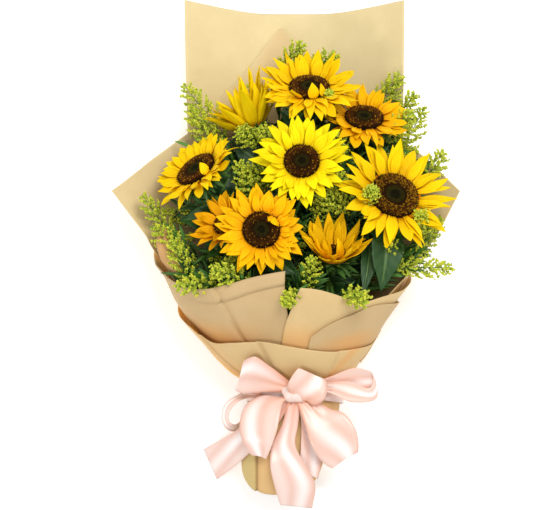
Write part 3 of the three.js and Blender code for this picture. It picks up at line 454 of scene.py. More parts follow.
@lru_cache(maxsize=None)
def wrap_values(y, turn):
    _, middle, width, low, side, top, closed = wrap_row(y)
    across, up = math.sin(math.radians(turn)), -math.cos(math.radians(turn))
    if up > 0:
        reach = math.copysign(abs(across) ** (2 / ROUND), across)
        return middle - width * reach, y, side + (top - side) * up ** (2 / ROUND)
    s = abs(across)
    flat = FLAT / width
    opened = max(0.0, (s - flat) / (1 - flat)) ** 1.6
    tube = 1 - math.sqrt(max(0.0, 1 - s * s))
    return middle - width * across, y, low + (side - low) * lerp(opened, tube, closed)


def wrap_point(y, turn):
    return vec(*wrap_values(round(y, 4), round(turn, 4)))


def wrap_normal(y, turn):
    ahead = wrap_point(y + 0.5, turn) - wrap_point(y - 0.5, turn)
    around = wrap_point(y, turn + 0.4) - wrap_point(y, turn - 0.4)
    return -unit(np.cross(ahead, around))


def turn_at(x, y):
    _, middle, width = wrap_row(y)[:3]
    return math.degrees(math.asin(clamp((middle - x) / width, -1.0, 1.0)))


def gather(y, turn):
    """How far the paper is drawn in by the folds that run out from the tie; every layer shares them."""
    near = bell(y, NECK, 26)
    far = smooth(y, -150, -60) * smooth(abs(turn), 55, 90) * 0.5
    ripple = 0.5 + 0.5 * math.sin(math.radians(turn) * 11 + 0.02 * y)
    broad = 0.5 + 0.5 * math.sin(math.radians(turn) * 7)
    return -1.4 * near * ripple * smooth(abs(turn), 30, 60) - far * broad


def off_wrap(y, turn, out):
    return wrap_point(y, turn) + wrap_normal(y, turn) * (out + gather(y, turn))


def along(rows, place):
    """The row at a place of a broken line whose rows begin with their place."""
    k = 0
    while k + 2 < len(rows) and place > rows[k + 1][0]:
        k += 1
    t = clamp((place - rows[k][0]) / (rows[k + 1][0] - rows[k][0]))
    return lerp(np.array(rows[k], float), np.array(rows[k + 1], float), t)


# ---------------------------------------------------------------- paper behind the flowers
BACK = 1.9 - PAPER  # how far out of the wrap the back sheet lies


def inner_out(y):
    return -1.3 - 3.2 * smooth(y, -100, 30)


# side edges of a sheet: [y, turn, turn] rows from the tie up, then [y, x, x] rows where the sheet lies open
BACK_TIED = [[-290, 82, -82], [-160, 80, -80], [-96, 62, -62]]
BACK_OPEN = [[-40, -88, 96], [12, -98, 112], [132, -113, 132], [291, -117, 134]]
INNER_TIED = [[-290, 150, -150], [-160, 150, -150], [-96, 130, -130], [-58, 112, -112], [-28, 98, -98]]
INNER_OPEN = [
    [16, -162, 172], [68, -201, 198], [107, -158, 164], [142, -115, 124], [217, -51, 50], [271, -10, -6],
]


def edges_at(tied, opened, y):
    """The turns of both side edges: the edges are straight in plan where the sheet lies open."""
    first = opened[0]
    if y >= first[0]:
        _, left, right = along(opened, y)
        return turn_at(left, y), turn_at(right, y)
    joined = tied + [[first[0], turn_at(first[1], first[0]), turn_at(first[2], first[0])]]
    return tuple(along(joined, y)[1:])


def paper_piece(name, grids, tint, nodes):
    shape = Shape()
    add_sheet(shape, *grids, np.concatenate([tint, tint]))
    return make_piece(name, shape, KRAFT, nodes, tidy_normals=True)


def sheet_piece(name, place, levels, columns, shade, *nodes):
    """place(level, share across, depth) gives a point, and shade(level, share) its tint."""
    shares = np.linspace(0, 1, columns + 1)
    layers = (0, PAPER)
    grids = [np.array([[place(v, share, depth) for share in shares] for v in levels]) for depth in layers]
    tint = np.array([shade(v, share) for v in levels for share in shares])
    return paper_piece(name, grids, tint, nodes)


def back_place(y, share, depth):
    """The back sheet, whose top edge is lower in its middle than at its corners."""
    left, right = edges_at(BACK_TIED, BACK_OPEN, y)
    u = 2 * share - 1
    point = off_wrap(y, left * -u if u < 0 else right * u, BACK + depth)
    if y > 250:
        point[1] += 4 * smooth(abs(point[0] - 9), 20, 125) * smooth(y, 250, 291)
    return point


def inner_place(y, share, depth):
    left, right = edges_at(INNER_TIED, INNER_OPEN, y)
    return off_wrap(y, lerp(left, right, share), inner_out(y) + depth)


# ---------------------------------------------------------------- paper in front
# rim: [turn, y] rows from left to right; foot: left turn, right turn and y; out, flare: how far out of the
# wrap the foot lies, and how much further the rim; fold: width of the rim's fold; hug: how much closer the
# left and right ends lie; tuck, tuck_right: by how many degrees an end goes round behind
FRONT_LEFT = {
    "rim": [[84, 0], [95, -24], [106, -41], [118, -53], [130, -59], [142, -60], [154, -57], [164, -52],
            [179, -45]],
    "foot": [96, 181.5, -140], "out": 2.6, "flare": 2, "fold": [2, 5, 9, 12, 14, 15, 15, 15, 15],
    "hug": [3, 0], "tuck": 15,
}
FRONT_RIGHT = {
    "rim": [[185, -62], [194, -64], [210, -71], [222, -73], [237, -64], [256, -51], [272, -32]],
    "foot": [172, 262, -130], "out": 4.5, "flare": 2, "hug": [0, 6], "tuck_right": 12,
}
FRONT_LOWER = {
    "rim": [[192, -109], [203, -96], [217, -85], [232, -74], [254, -67], [272, -60]],
    "foot": [190, 260, -122], "out": 6.7, "flare": 1.5, "hug": [0, 5.5], "tuck_right": 12,
}
COLLAR = {
    "rim": [[86, -60], [100, -84], [118, -108], [140, -112], [164, -113], [186, -120], [208, -122],
            [230, -118], [256, -109], [272, -94]],
    "foot": [92, 268, -160], "out": 7.9, "flare": 2.4, "hug": [4.5, 6], "tuck": 15,
}
COLLAR_AT_NECK = 2.8  # how far out the collar lies where only it and the back sheets are tied
SKIRT_END = -273


def rim_at(rim, share):
    """Turn and height of a rim, smoothed through its points."""
    points = [vec(turn, y, 0) for turn, y in rim]
    place = share * (len(rim) - 1)
    k = min(int(place), len(rim) - 2)
    w = place - k
    p0, p1, p2 = points[max(k - 1, 0)], points[k], points[k + 1]
    p3 = points[min(k + 2, len(rim) - 1)]
    point = p1 + 0.5 * w * (p2 - p0 + w * (2 * p0 - 5 * p1 + 4 * p2 - p3 + w * (3 * (p1 - p2) + p3 - p0)))
    return point[0], point[1]


def pleat(share, at, depth, width):
    """A knife pleat: the paper rises to its fold at one side and drops behind it."""
    if share > at:
        return -depth * math.exp(-(share - at) / (0.2 * width))
    return depth * max(0.0, 1 - (at - share) / width) ** 1.5


RIM_RISE = 8  # the rims stand this much further up the bunch than in the solids
LEVELS = [r / 36 for r in range(37)]  # shares of a front sheet's height, from its foot to its rim


def front_out(spec, v, share, pleats):
    lift = sum(pleat(share, at, depth * smooth(v, start, start + 0.3), width)
               for at, depth, width, start in pleats)
    return spec["out"] + spec["flare"] * v * v + lift


def hugged(spec, out, share, v):
    """The free ends of a front sheet lie close against what is behind them."""
    left, right = spec["hug"]
    near = (1 - smooth(share, 0, 0.2)) * left + smooth(share, 0.8, 1) * right
    return out - near * smooth(v, 0.1, 0.7)


def tucked(spec, turn, share, v):
    """The free ends of a front sheet go round behind the bunch."""
    left = spec.get("tuck", 0) * (1 - smooth(share, 0, 0.16))
    right = spec.get("tuck_right", 0) * smooth(share, 0.84, 1)
    return turn + (right - left) * smooth(v, 0.1, 0.6)


def front_place(spec, pleats=()):
    left, right, low = spec["foot"]

    def place(v, share, depth):
        rim_turn, high = rim_at(spec["rim"], share)
        turn = tucked(spec, lerp(lerp(left, right, share), rim_turn, v), share, v)
        y = lerp(low, high + RIM_RISE, v)
        return off_wrap(y, turn, hugged(spec, front_out(spec, v, share, pleats), share, v) + depth)

    return place


def glow(base, low, high, strength, middle, lit_end=0.0, crease=None):
    """Painted light on paper: warmed as by the light that the fold below it throws back, lit through at its
    left end, and a painted shade line along a crease.
    """
    def shade(v, share):
        near = (1 - smooth(v, low, high)) * strength * bell(share, middle, 0.36)
        end = lit_end * (1 - smooth(share, 0.02, 0.1))
        painted_shade = bell(share, crease, 0.011) * (1 - smooth(v, 0.35, 0.72)) if crease else 0
        return lerp(lerp(lerp(base, PAPER_GLOW, near), PAPER_LIT, end), CREASE_SHADE, 0.75 * painted_shade)
    return shade


def folded_sheet(name, spec, pleats, shade, node):
    """A front sheet whose rim is folded over outwards."""
    place = front_place(spec, pleats)
    low = spec["foot"][2]
    over = 2 * PAPER + CLEAR
    shares = np.linspace(0, 1, 81)
    inner = [[(v, 0.0)] * len(shares) for v in LEVELS]
    outer = [[(v, PAPER)] * len(shares) for v in LEVELS]

    def hem(share):
        """The paper's thickness and the width of the fold, as shares of the sheet's height."""
        wide = np.interp(share, np.linspace(0, 1, len(spec["fold"])), spec["fold"])
        run = rim_at(spec["rim"], share)[1] + RIM_RISE - low
        return PAPER / run, wide / run

    outer[-1] = [(1 - hem(share)[0], PAPER) for share in shares]
    for step in (0.0, 0.35, 0.7, 1.0):
        inner.append([(1 - hem(share)[1] * step, over) for share in shares])
        outer.append([(1 - max(hem(share)[0], hem(share)[1] * step), PAPER + CLEAR) for share in shares])
    grids = [np.array([[place(v, share, off) for share, (v, off) in zip(shares, row)] for row in layer])
             for layer in (inner, outer)]
    tint = np.array([shade(v, share) for row in inner for share, (v, off) in zip(shares, row)])
    return paper_piece(name, grids, tint, [node])


# pleats: share across, depth, width as a share, and above the tie the height share at which they begin
COLLAR_PLEATS = [(0.427, 1.1, 0.08, 0.45), (0.7, 0.9, 0.12, 0.3), (0.18, 0.9, 0.1, 0.1)]
SKIRT_PLEATS = [(0.29, 1.8, 0.14), (0.72, 1.2, 0.12)]
LEFT_PLEATS = [(0.64, 2.4, 0.12, 0.02)]


def collar_place(v, share, depth):
    foot_left, foot_right, foot_low = COLLAR["foot"]
    base = lerp(foot_left, foot_right, share)
    if v > 0:
        rim_turn, high = rim_at(COLLAR["rim"], share)
        y = lerp(foot_low, high + RIM_RISE, v)
        turn = tucked(COLLAR, lerp(base, rim_turn, v), share, v)
        neck = lerp(COLLAR_AT_NECK, COLLAR["out"], smooth(y, -152, -128)) - COLLAR["out"]
        out = hugged(COLLAR, front_out(COLLAR, v, share, COLLAR_PLEATS), share, v)
        return off_wrap(y, turn, out + neck + depth)
    corner = (40 if share > 0.5 else 34) * abs(2 * share - 1) ** 2.4 * -v
    y = min(foot_low + (foot_low - SKIRT_END) * v + corner, foot_low)
    lift = sum(pleat(share, at, deep * smooth(-v, 0.15, 0.6), wide) for at, deep, wide in SKIRT_PLEATS)
    return off_wrap(y, base, COLLAR_AT_NECK + lift + depth)


def collar_shade(v, share):
    """The skirt below the tie, khaki left of its crease and warmer right of it with some painted warm
    light, and painted shade along the crease; above the tie painted warm light low down, at the left end
    and in a fold, painted shade along the seam and the left end lit through.
    """
    if v <= 0:
        side = lerp(SKIRT_TINT, lerp(PAPER_TINT, PAPER_GLOW, 0.22), smooth(share, 0.28, 0.3))
        return lerp(side, CREASE_SHADE, 0.7 * bell(share, 0.294, 0.008))
    # painted warm light: low down, at the left end and in the fold at about seven tenths across
    near = (1 - smooth(v, 0.1, 0.7)) * 0.45 + 0.25 * (1 - smooth(share, 0.1, 0.35))
    near = near + 0.45 * bell(share, lerp(0.69, 0.78, v), 0.028) * smooth(v, 0.1, 0.3)
    # painted shade: a dark line down the seam
    seam = 0.4 * bell(share, 0.4315, 0.006) * smooth(v, 0.45, 0.6)
    lit = 0.9 * (1 - smooth(share, 0.04, 0.12))
    return lerp(lerp(lerp(PAPER_TINT, PAPER_GLOW, min(1.0, near)), PAPER_LIT, lit), CREASE_SHADE, seam)


def back_shade(y, share):
    return lerp(PAPER_TINT, BACK_TINT, smooth(y, 0, 120))


# Painted warm light low on the inner sheet, where the sheets throw light back on each other; higher up the
# sheet's lighter tint, in full at its sides and three quarters in its middle.
def inner_shade(y, share):
    side = smooth(abs(2 * share - 1), 0.5, 1)
    return lerp(lerp(PAPER_TINT, PAPER_GLOW, 0.25), INNER_TINT, smooth(y, -60, 60) * (0.75 + 0.25 * side))


# middle line of the rolled edge of the inner sheet at the lower left, and its radius along the line
ROLL_LINE = [
    vec(-140, 22, 72), vec(-141, 8, 76), vec(-137, -6, 80), vec(-130, -18, 83), vec(-121, -28, 86),
    vec(-111, -36, 88),
]
ROLL_RADII = [4, 8.5, 10, 10, 8, 4]


def roll_point(t, share, depth):
    """The edge curls over towards the flowers: its cross-section is most of a circle that tightens."""
    ahead = unit(catmull(ROLL_LINE, min(1, t + 0.02)) - catmull(ROLL_LINE, max(0, t - 0.02)))
    side = unit(np.cross(ahead, vec(0, 0, 1)))
    over = np.cross(side, ahead)
    angle = math.radians(lerp(-70, 235, share) + 14 * math.sin(5 * t))
    radius = np.interp(t, np.linspace(0, 1, len(ROLL_RADII)), ROLL_RADII) * lerp(1, 0.62, share) + depth
    return catmull(ROLL_LINE, t) - side * radius * math.cos(angle) + over * radius * math.sin(angle)


# Painted shade: dark stripes round the roll and a darker inner half where it curls over, on the shaded
# paper tint warmed with painted light.
def roll_shade(t, share):
    shading_streak = 0.45 * max(0.0, math.sin(15 * share + 4 * t)) ** 3
    painted_shade = min(0.85, 1.4 * shading_streak + 0.6 * smooth(share, 0.5, 1))
    return lerp(lerp(PAPER_SHADED, PAPER_GLOW, 0.42), CREASE_SHADE, painted_shade)


def make_paper():
    """All sheets; the rows are closer where an edge turns or ends."""
    back_rows = [*np.linspace(-250, 250, 110), *np.linspace(253, 291, 14)]
    sheet_piece("paper_back", back_place, back_rows, 56, back_shade, "paper_back_sheet")
    inner_rows = [*np.linspace(-246, 60, 76), *np.linspace(62, 74, 9), *np.linspace(77, 271, 60)]
    sheet_piece("paper_inner", inner_place, inner_rows, 80, inner_shade, "paper_inner_sheet")
    # the left and lower sheets start from the paper's tint darkened as painted shade
    left_shade = glow(PAPER_SHADED, 0.35, 0.7, strength=0.7, middle=0.4, lit_end=0.8, crease=0.646)
    right_shade = glow(PAPER_TINT, 0.3, 0.62, strength=0.45, middle=0.1)
    lower_shade = glow(PAPER_SHADED, 0.34, 0.66, strength=0.5, middle=0.5)
    folded_sheet("paper_left", FRONT_LEFT, LEFT_PLEATS, left_shade, "paper_front_left")
    sheet_piece("paper_right", front_place(FRONT_RIGHT), LEVELS, 64, right_shade, "paper_front_right")
    sheet_piece("paper_lower", front_place(FRONT_LOWER), LEVELS, 56, lower_shade, "paper_front_lower")
    skirt = [-1 + r / 40 for r in range(40)]
    sheet_piece("paper_collar_skirt", collar_place, skirt + LEVELS, 110, collar_shade, "paper_collar")
    sheet_piece("paper_roll", roll_point, np.linspace(0, 1, 40), 30, roll_shade)


# ---------------------------------------------------------------- sunflower heads
# centre and direction of the petal ring, radius of the disc, reach and number of the petals, how they
# stand, the stem's column and row in the tie, colour and material slot of the petals, how orange their
# roots are, and the noise above which a floret of the disc is gilded
BLOOM_FIELDS = "at facing disc reach petals lift tilt curl tie hue slot warmth gilt".split()
BLOOMS = {
    "a": ([-40, 143, 66], [-0.42, 0.9, 0.05], 9, 64, 18, 38, 0, 14, [-1, 0],
          0xFFE408, "petal_lemon", 0.4, 0.88),
    "b": ([25, 181, 92], [0, 0.69, 0.72], 23, 61, 24, 14, 20, -6, [0, 0],
          0xFFDC04, "petal_yellow", 0.4, 0.88),
    "c": ([87, 148, 84], [0.05, 0.68, 0.73], 22, 54, 20, 14, 18, -8, [1, 0],
          0xFFCC04, "petal_amber", 0.75, 0.88),
    "d": ([16, 88, 132], [0, 0.2, 0.98], 20, 57, 24, 14, 4, -14, [0.5, 1],
          0xFFF40A, "petal_lemon", 0.4, 0.88),
    "e": ([-102, 87, 90], [-0.52, 0.6, 0.61], 24, 54, 24, 14, 12, -8, [-1.5, 1],
          0xFFDC04, "petal_yellow", 0.4, 0.88),
    "f": ([119, 52, 118], [0.25, 0.35, 0.9], 28, 71, 22, 14, 6, -12, [1.5, 1],
          0xFFDE04, "petal_yellow", 0.4, 0.6),
    "g": ([-29, 9, 140], [0.05, 0.1, 0.99], 21, 53, 24, 10, 0, -10, [0, 2],
          0xFFC904, "petal_amber", 0.75, 0.88),
    "h": ([51, -12, 116], [0.05, 0.75, 0.66], 13, 54, 18, 46, 4, -8, [1, 2],
          0xFFCE08, "petal_amber", 0.4, 0.88),
    "i": ([-71, 23, 100], [-0.5, 0.3, 0.8], 12, 42, 14, 26, 0, -6, [-1, 2],
          0xFFBC04, "petal_amber", 0.75, 0.88),
}
RING_ROWS = [-1.2, -2.2, -3.1, -4.0]
CUP_TOP = -4.4
CUP_DEPTH = 18
PETAL_WIDTH = 7.6
PETAL_CHANGES = [
    (lift, length) for length in (1, 0.84, 0.68, 0.5, 0.34) for lift in (0, 7, -7, 14, -14, 21, -21)
]


class Head:
    """The axes of a head and the measures that its petals share."""

    def __init__(self, name):
        self.name = name
        for key, value in zip(BLOOM_FIELDS, BLOOMS[name]):
            setattr(self, key, value)
        self.normal = unit(vec(*self.facing))
        self.up = unit(vec(0, 1, 0) - self.normal * self.normal[1])
        self.right = np.cross(self.up, self.normal)
        self.centre = vec(*self.at)
        self.count = self.petals // 2
        self.wall = (self.disc + CLEAR) / math.cos(math.pi / self.count) + 2.4
        self.run = self.reach - self.wall
        self.width = min(1, 0.55 + self.reach / 120)
        self.seed = ord(name)

    def outward(self, turn):
        return self.right * math.cos(turn) + self.up * math.sin(turn)

    def place(self, radius, turn, height):
        return self.centre + self.outward(turn) * radius + self.normal * height


HEADS = {name: Head(name) for name in BLOOMS}


def petal_line(lift, curl, length, s):
    """Radius and height of a petal's middle line, which bends evenly by curl over its length."""
    bend, angle = math.radians(curl), math.radians(lift)
    if abs(bend) < 1e-4:
        return length * s * math.cos(angle), length * s * math.sin(angle)
    out = (math.sin(angle + bend * s) - math.sin(angle)) / bend
    rise = (math.cos(angle) - math.cos(angle + bend * s)) / bend
    return length * out, length * rise


def petal_facts(head, layer, k, change):
    """A petal of one of the solids' two rings."""
    seed = head.seed + 10 * layer
    turn = 2 * math.pi * (k + layer / 2 + 0.12 * spread(k, seed)) / head.count
    rest = head.lift + head.tilt * math.sin(turn) + 12 * layer
    return {
        "turn": turn,
        "lift": rest + 4 * spread(k, seed + 1) + change[0],
        "curl": head.curl * (1 + 0.6 * spread(k, seed + 2)) + 5 * spread(k, seed + 3),
        "length": head.run * (1.02 - 0.08 * layer + 0.1 * spread(k, seed + 4)) * change[1],
        "roll": math.radians(14 * spread(k, seed + 5)),
        "width": PETAL_WIDTH * (0.9 + 0.16 * spread(k, seed + 6)) * head.width,
        "radius": head.wall,
        "start": RING_ROWS[2 - layer],
    }


def petal_point(head, facts, s):
    out, rise = petal_line(facts["lift"], facts["curl"], facts["length"], s)
    return head.place(facts["radius"] + out, facts["turn"], facts["start"] + rise)


def chosen_petal(head, layer, k, tree):
    """The CAD bends or shortens a petal that would meet another; its tip in the node tells which way."""
    return min((petal_facts(head, layer, k, change) for change in PETAL_CHANGES),
               key=lambda facts: miss(tree, petal_point(head, facts, 1)))


PETAL_ROWS = np.array([0, 0.07, 0.16, 0.26, 0.37, 0.48, 0.59, 0.69, 0.78, 0.86, 0.92, 0.965, 1.0])
PETAL_COLUMNS = np.linspace(-1, 1, 9)
PETAL_ROOT_TONE_AND_GROOVE_SHADE = linear(0xF39A02)


def petal_width(s, point, widest=0.36):
    if s < widest:
        return 0.5 + 0.5 * math.sin(0.5 * math.pi * s / widest)
    return 1 - ((s - widest) / 0.64) ** point


def add_petal(shape, head, facts, hue, key):
    """One petal: grooves along it, edges that lift and wave, a twist, a bent tip, a warmer root and painted
    shade in its grooves.
    """
    outward = head.outward(facts["turn"])
    side = np.cross(head.normal, outward)
    point = lerp(1.25, 2.2, noise(key, 3))
    twist = math.radians(40 * spread(key, 4))
    sway = 0.13 * spread(key, 5)
    phase = 6.3 * noise(key, 6)
    cup = lerp(0.08, 0.34, noise(key, 7))
    hook = 8 * spread(key, 11)
    own = hue * lerp(0.86, 1.0, noise(key, 8))
    warmest = PETAL_ROOT_TONE_AND_GROOVE_SHADE * own.max()
    rows, tints = [], []
    for s in PETAL_ROWS:
        angle = math.radians(facts["lift"] + facts["curl"] * s)
        face = head.normal * math.cos(angle) - outward * math.sin(angle)
        roll = facts["roll"] * min(1, 2 * s) + twist * s * s
        across = side * math.cos(roll) + face * math.sin(roll)
        upward = face * math.cos(roll) - side * math.sin(roll)
        width = facts["width"] * petal_width(s, point)
        middle = petal_point(head, facts, s) + side * sway * facts["length"] * s * s
        middle = middle + face * hook * max(0.0, s - 0.55) ** 2 * 4 - outward * max(0, 0.06 - s) * 45
        for u in PETAL_COLUMNS:
            ridge = 0.45 * math.cos(3 * math.pi * u) * min(1, 4 * (1 - s))
            wave = 0.1 * width * math.sin(9 * s + phase + 1.5 * u) * u * u
            rows.append(middle + across * width * u + upward * (cup * width * u * u + ridge + wave))
            # the orange root is the petal's own colour; the warmer tint in its grooves and along its edges
            # is painted shade
            deep = head.warmth * (1 - s) ** 2.6 + 0.22 * (1 - abs(math.cos(1.5 * math.pi * u)))
            tints.append(lerp(own, warmest, min(1.0, deep + 0.1 * noise(key, 9))))
    add_blade(shape, rows, len(PETAL_ROWS), tints, thick=0.5)


def extra_facts(head, k, count, ring):
    """A petal of the rings that stand between the two of the solids."""
    seed = head.seed + 31 + 17 * ring
    rest = head.lift + head.tilt * math.sin(2 * math.pi * k / count) + 4 + 14 * ring
    return {
        "turn": 2 * math.pi * (k + 0.25 + 0.5 * ring + 0.3 * spread(k, seed + 3)) / count,
        "lift": rest + 10 * spread(k, seed + 2),
        "curl": head.curl + 16 * spread(k, seed + 4),
        "length": head.run * lerp(0.66, 1.06, noise(k, seed + 5)) * (1 - 0.1 * ring),
        "roll": math.radians(26 * spread(k, seed + 6)),
        "width": PETAL_WIDTH * lerp(0.5, 0.95, noise(k, seed + 7)) * head.width,
        "radius": head.disc + 1.0,
        "start": -0.4,
    }


# petals that stand up or fold in over the disc: turn in degrees, lift, curl, shares of the length and width
FOLDED = {
    "a": [(turn, lift, -6, long * 1.06, 0.74) for turn, lift, long in (
        (-96, 44, 0.84), (-84, 58, 0.8), (-70, 50, 0.86), (-56, 64, 0.84), (-44, 56, 0.9), (-30, 70, 0.92),
        (-18, 62, 0.96), (-4, 74, 1.0), (10, 66, 1.04), (22, 78, 1.1), (36, 70, 1.14), (50, 76, 1.2),
        (64, 66, 1.2), (76, 72, 1.22), (88, 60, 1.1), (100, 66, 1.12))],
    "b": [(-78, 84, 30, 0.62, 0.85), (-48, 100, 10, 0.5, 0.6), (-120, 60, -40, 0.8, 0.9)],
    "d": [(-84, 30, -120, 0.8, 0.8)],
    "e": [(-24, 96, 40, 0.6, 0.75)],
    "g": [(48, 122, 20, 0.6, 0.75), (26, 108, 30, 0.62, 0.75), (68, 104, 20, 0.5, 0.6)],
    "h": [(-60, 80, 20, 0.7, 0.9), (-126, 86, 16, 0.7, 0.8)],
}
# sectors of a head whose petals are short: from and to, in degrees, and the share of the length
SHORT = {
    "d": [(-68, -14, 0.78), (-168, -112, 0.8)],
    "f": [(-178, -138, 0.7)],
    "g": [(-28, 42, 0.74)],
    "h": [(-114, -66, 0.6)],
}


def shortened(head, facts):
    degrees = (math.degrees(facts["turn"]) + 180) % 360 - 180
    share = next((share for low, high, share in SHORT.get(head.name, []) if low < degrees < high), 1.0)
    return {**facts, "length": facts["length"] * share}


def folded_facts(head, entry):
    turn, lift, curl, long, wide = entry
    return {
        "turn": math.radians(turn),
        "lift": lift,
        "curl": curl,
        "length": head.run * long,
        "roll": math.radians(10 * spread(turn, 2)),
        "width": PETAL_WIDTH * wide * head.width,
        "radius": head.disc + 0.8,
        "start": 0,
    }


def all_petals(head, tree):
    """The facts, shade and key of each petal: the solids' two rings, two more, and the folded ones."""
    for layer in (0, 1):
        for k in range(head.count):
            facts = shortened(head, chosen_petal(head, layer, k, tree))
            yield facts, 1 - 0.06 * (1 - layer), head.seed + 3.1 * k + 57 * layer
    for ring in (0, 1):
        count = head.count + 3 - 2 * ring
        for k in range(count):
            facts = shortened(head, extra_facts(head, k, count, ring))
            yield facts, 1, head.seed + 5.3 * k + 211 * (ring + 1)
    for k, entry in enumerate(FOLDED.get(head.name, [])):
        yield folded_facts(head, entry), 1, head.seed + 7.7 * k + 901


def make_petals(head):
    node = f"sunflower_{head.name}_petals"
    shape = Shape()
    inside, outside = head.disc + 0.3, head.wall + 0.4
    ring = [(inside, -3.8), (inside, -1.2), (head.wall + 0.6, -2.6), (outside, -4.2)]
    add_lathe(shape, head, ring, 36, linear(0xC9760A))
    hue = linear(head.hue)
    for facts, shade, key in all_petals(head, node_tree(node)):
        add_petal(shape, head, facts, hue * shade, key)
    make_piece(f"petals_{head.name}", shape, PETAL, [node])


def add_lathe(shape, head, profile, sides, tint):
    turns = 2 * np.pi * np.arange(sides) / sides
    rings = [[head.place(radius, turn, height) for turn in turns] for radius, height in profile]
    shape.add(np.array(rings), grid_faces(len(profile), sides, closed=True), tint)


def dome(head, share):
    """Height of the disc at a share of its radius: a low dome with a dip in its middle."""
    return 0.16 * head.disc * (1 - share ** 2) + 2.2 - 0.1 * head.disc * (1 - share) ** 2


def bud_form(sides, shoulder, top):
    """A small closed bud along its third axis: a foot, a shoulder and a blunt top."""
    turns = 2 * np.pi * np.arange(sides) / sides
    ring = np.stack([np.cos(turns), np.sin(turns), 0 * turns], axis=1)
    points = np.concatenate([ring * 0.7, ring + [0, 0, shoulder], ring * top + [0, 0, 1], [[0, 0, 1.08]]])
    faces = []
    for r in range(2):
        for k in range(sides):
            a, b = r * sides + k, r * sides + (k + 1) % sides
            faces += [[a, b, b + sides], [a, b + sides, a + sides]]
    faces += [[2 * sides + k, 2 * sides + (k + 1) % sides, 3 * sides] for k in range(sides)]
    return points, faces


def axes_of(ahead, scale, length):
    """The axes of a small form that points ahead, stretched to its width and length."""
    side = unit(np.cross(ahead, vec(0.31, 0.17, 0.93)))
    return np.array([side * scale, np.cross(ahead, side) * scale, ahead * length])


SEED_TURN = math.radians(137.508)  # the golden angle
DISC_RINGS = [  # share of the radius up to which florets have a colour
    (0.22, 0x1F210B), (0.40, 0x3C3612), (0.55, 0x38220A),
    (0.72, 0x52300F), (0.88, 0x663A14), (1.01, 0x3D220C),
]


def floret_look(head, k, share):
    """Colour and height of a disc floret: green in the middle, brown outside, gilded here and there."""
    tint = linear(next(code for limit, code in DISC_RINGS if share < limit))
    tall = lerp(1.1, 2.5, smooth(share, 0.45, 0.8)) * lerp(0.8, 1.15, noise(k, 9))
    if 0.5 < share < 0.97 and noise(k, 12) > head.gilt:
        return linear(0xC08A1C) * lerp(0.35, 1.0, noise(k, 13)), tall * 1.12
    return tint * lerp(0.75, 1.3, noise(k, head.seed)), tall


def make_disc(head):
    shape = Shape()
    profile = [(0.01, RING_ROWS[3]), (head.disc, RING_ROWS[3]), (head.disc, 0.2)]
    profile += [(head.disc * s, dome(head, s) - 0.9) for s in (0.98, 0.9, 0.75, 0.55, 0.35, 0.15, 0.01)]
    add_lathe(shape, head, profile, 40, linear(0x1C1006))
    count = int(1.55 * head.disc ** 2)
    wide = head.disc * 0.84 / math.sqrt(count)
    places, tints = [], []
    for k in range(count):
        share = math.sqrt((k + 0.5) / count)
        turn = k * SEED_TURN
        ahead = head.normal + head.outward(turn) * (0.55 * share ** 2) + head.right * 0.12 * spread(k, 1)
        tint, tall = floret_look(head, k, share)
        origin = head.place(head.disc * share * 0.975, turn, dome(head, share) - 1.1)
        places.append((origin, axes_of(unit(ahead), wide, tall)))
        tints.append(tint)
    points, faces = bud_form(5, 0.55, 0.62)
    shape.scatter(points, faces, places, tints)
    make_piece(f"disc_{head.name}", shape, SEED, [f"sunflower_{head.name}_disc"])


# ---------------------------------------------------------------- calyx, stem and leaves
LEAF_TINT = linear(0x2F5A22)
LEAF_DARK = linear(0x1E3F1B)
VEIN_TINT = linear(0x6E8F45)
STEM_TINT = linear(0x5F8230)


def tie_at(head):
    column, row = head.tie
    return TIE_X + TIE_PITCH * column, TIE_Z + TIE_PITCH * math.sin(math.radians(60)) * row


def stem_bend(head):
    """The four points of the bent part of a stem, from the tie to its head."""
    x, z = tie_at(head)
    neck = vec(x, NECK + 6, z)
    top = head.centre + head.normal * (2 - CUP_DEPTH)
    run = np.linalg.norm(top - neck)
    return neck, neck + vec(0, 0.42 * run, 0), top - head.normal * min(46, 0.34 * run), top


def stem_line(head, count):
    x, z = tie_at(head)
    bend = stem_bend(head)
    foot = vec(x, STEM_END + 6 * spread(x, z), z)
    points = [foot, lerp(foot, bend[0], 0.88)] + [cubic(*bend, k / 9) for k in range(10)]
    return spaced(curve_through(points, 120), count)


def add_bract(shape, head, turn, radius, height, lift, length, width, key):
    """One pointed green bract under the petals."""
    side = np.cross(head.normal, head.outward(turn))
    curl = 26 * spread(key, 2)
    levels = np.linspace(0, 1, 8)
    rows, tints = [], []
    for s in levels:
        out, rise = petal_line(lift, curl, length, s)
        middle = head.place(radius + out, turn, height + rise)
        half = width * (1 - s ** 1.7) * (0.8 + 0.8 * s * (1 - s))
        for u in (-1, -0.5, 0, 0.5, 1):
            rows.append(middle + side * half * u + head.normal * 0.28 * half * abs(u))
            tints.append(lerp(LEAF_TINT, VEIN_TINT, 0.35 * (1 - abs(u)) + 0.2 * s))
    add_blade(shape, rows, len(levels), tints, thick=0.6)


LONG_BRACTS = {"h": 22}  # more bracts, long and ragged, where the photo shows a calyx from its side


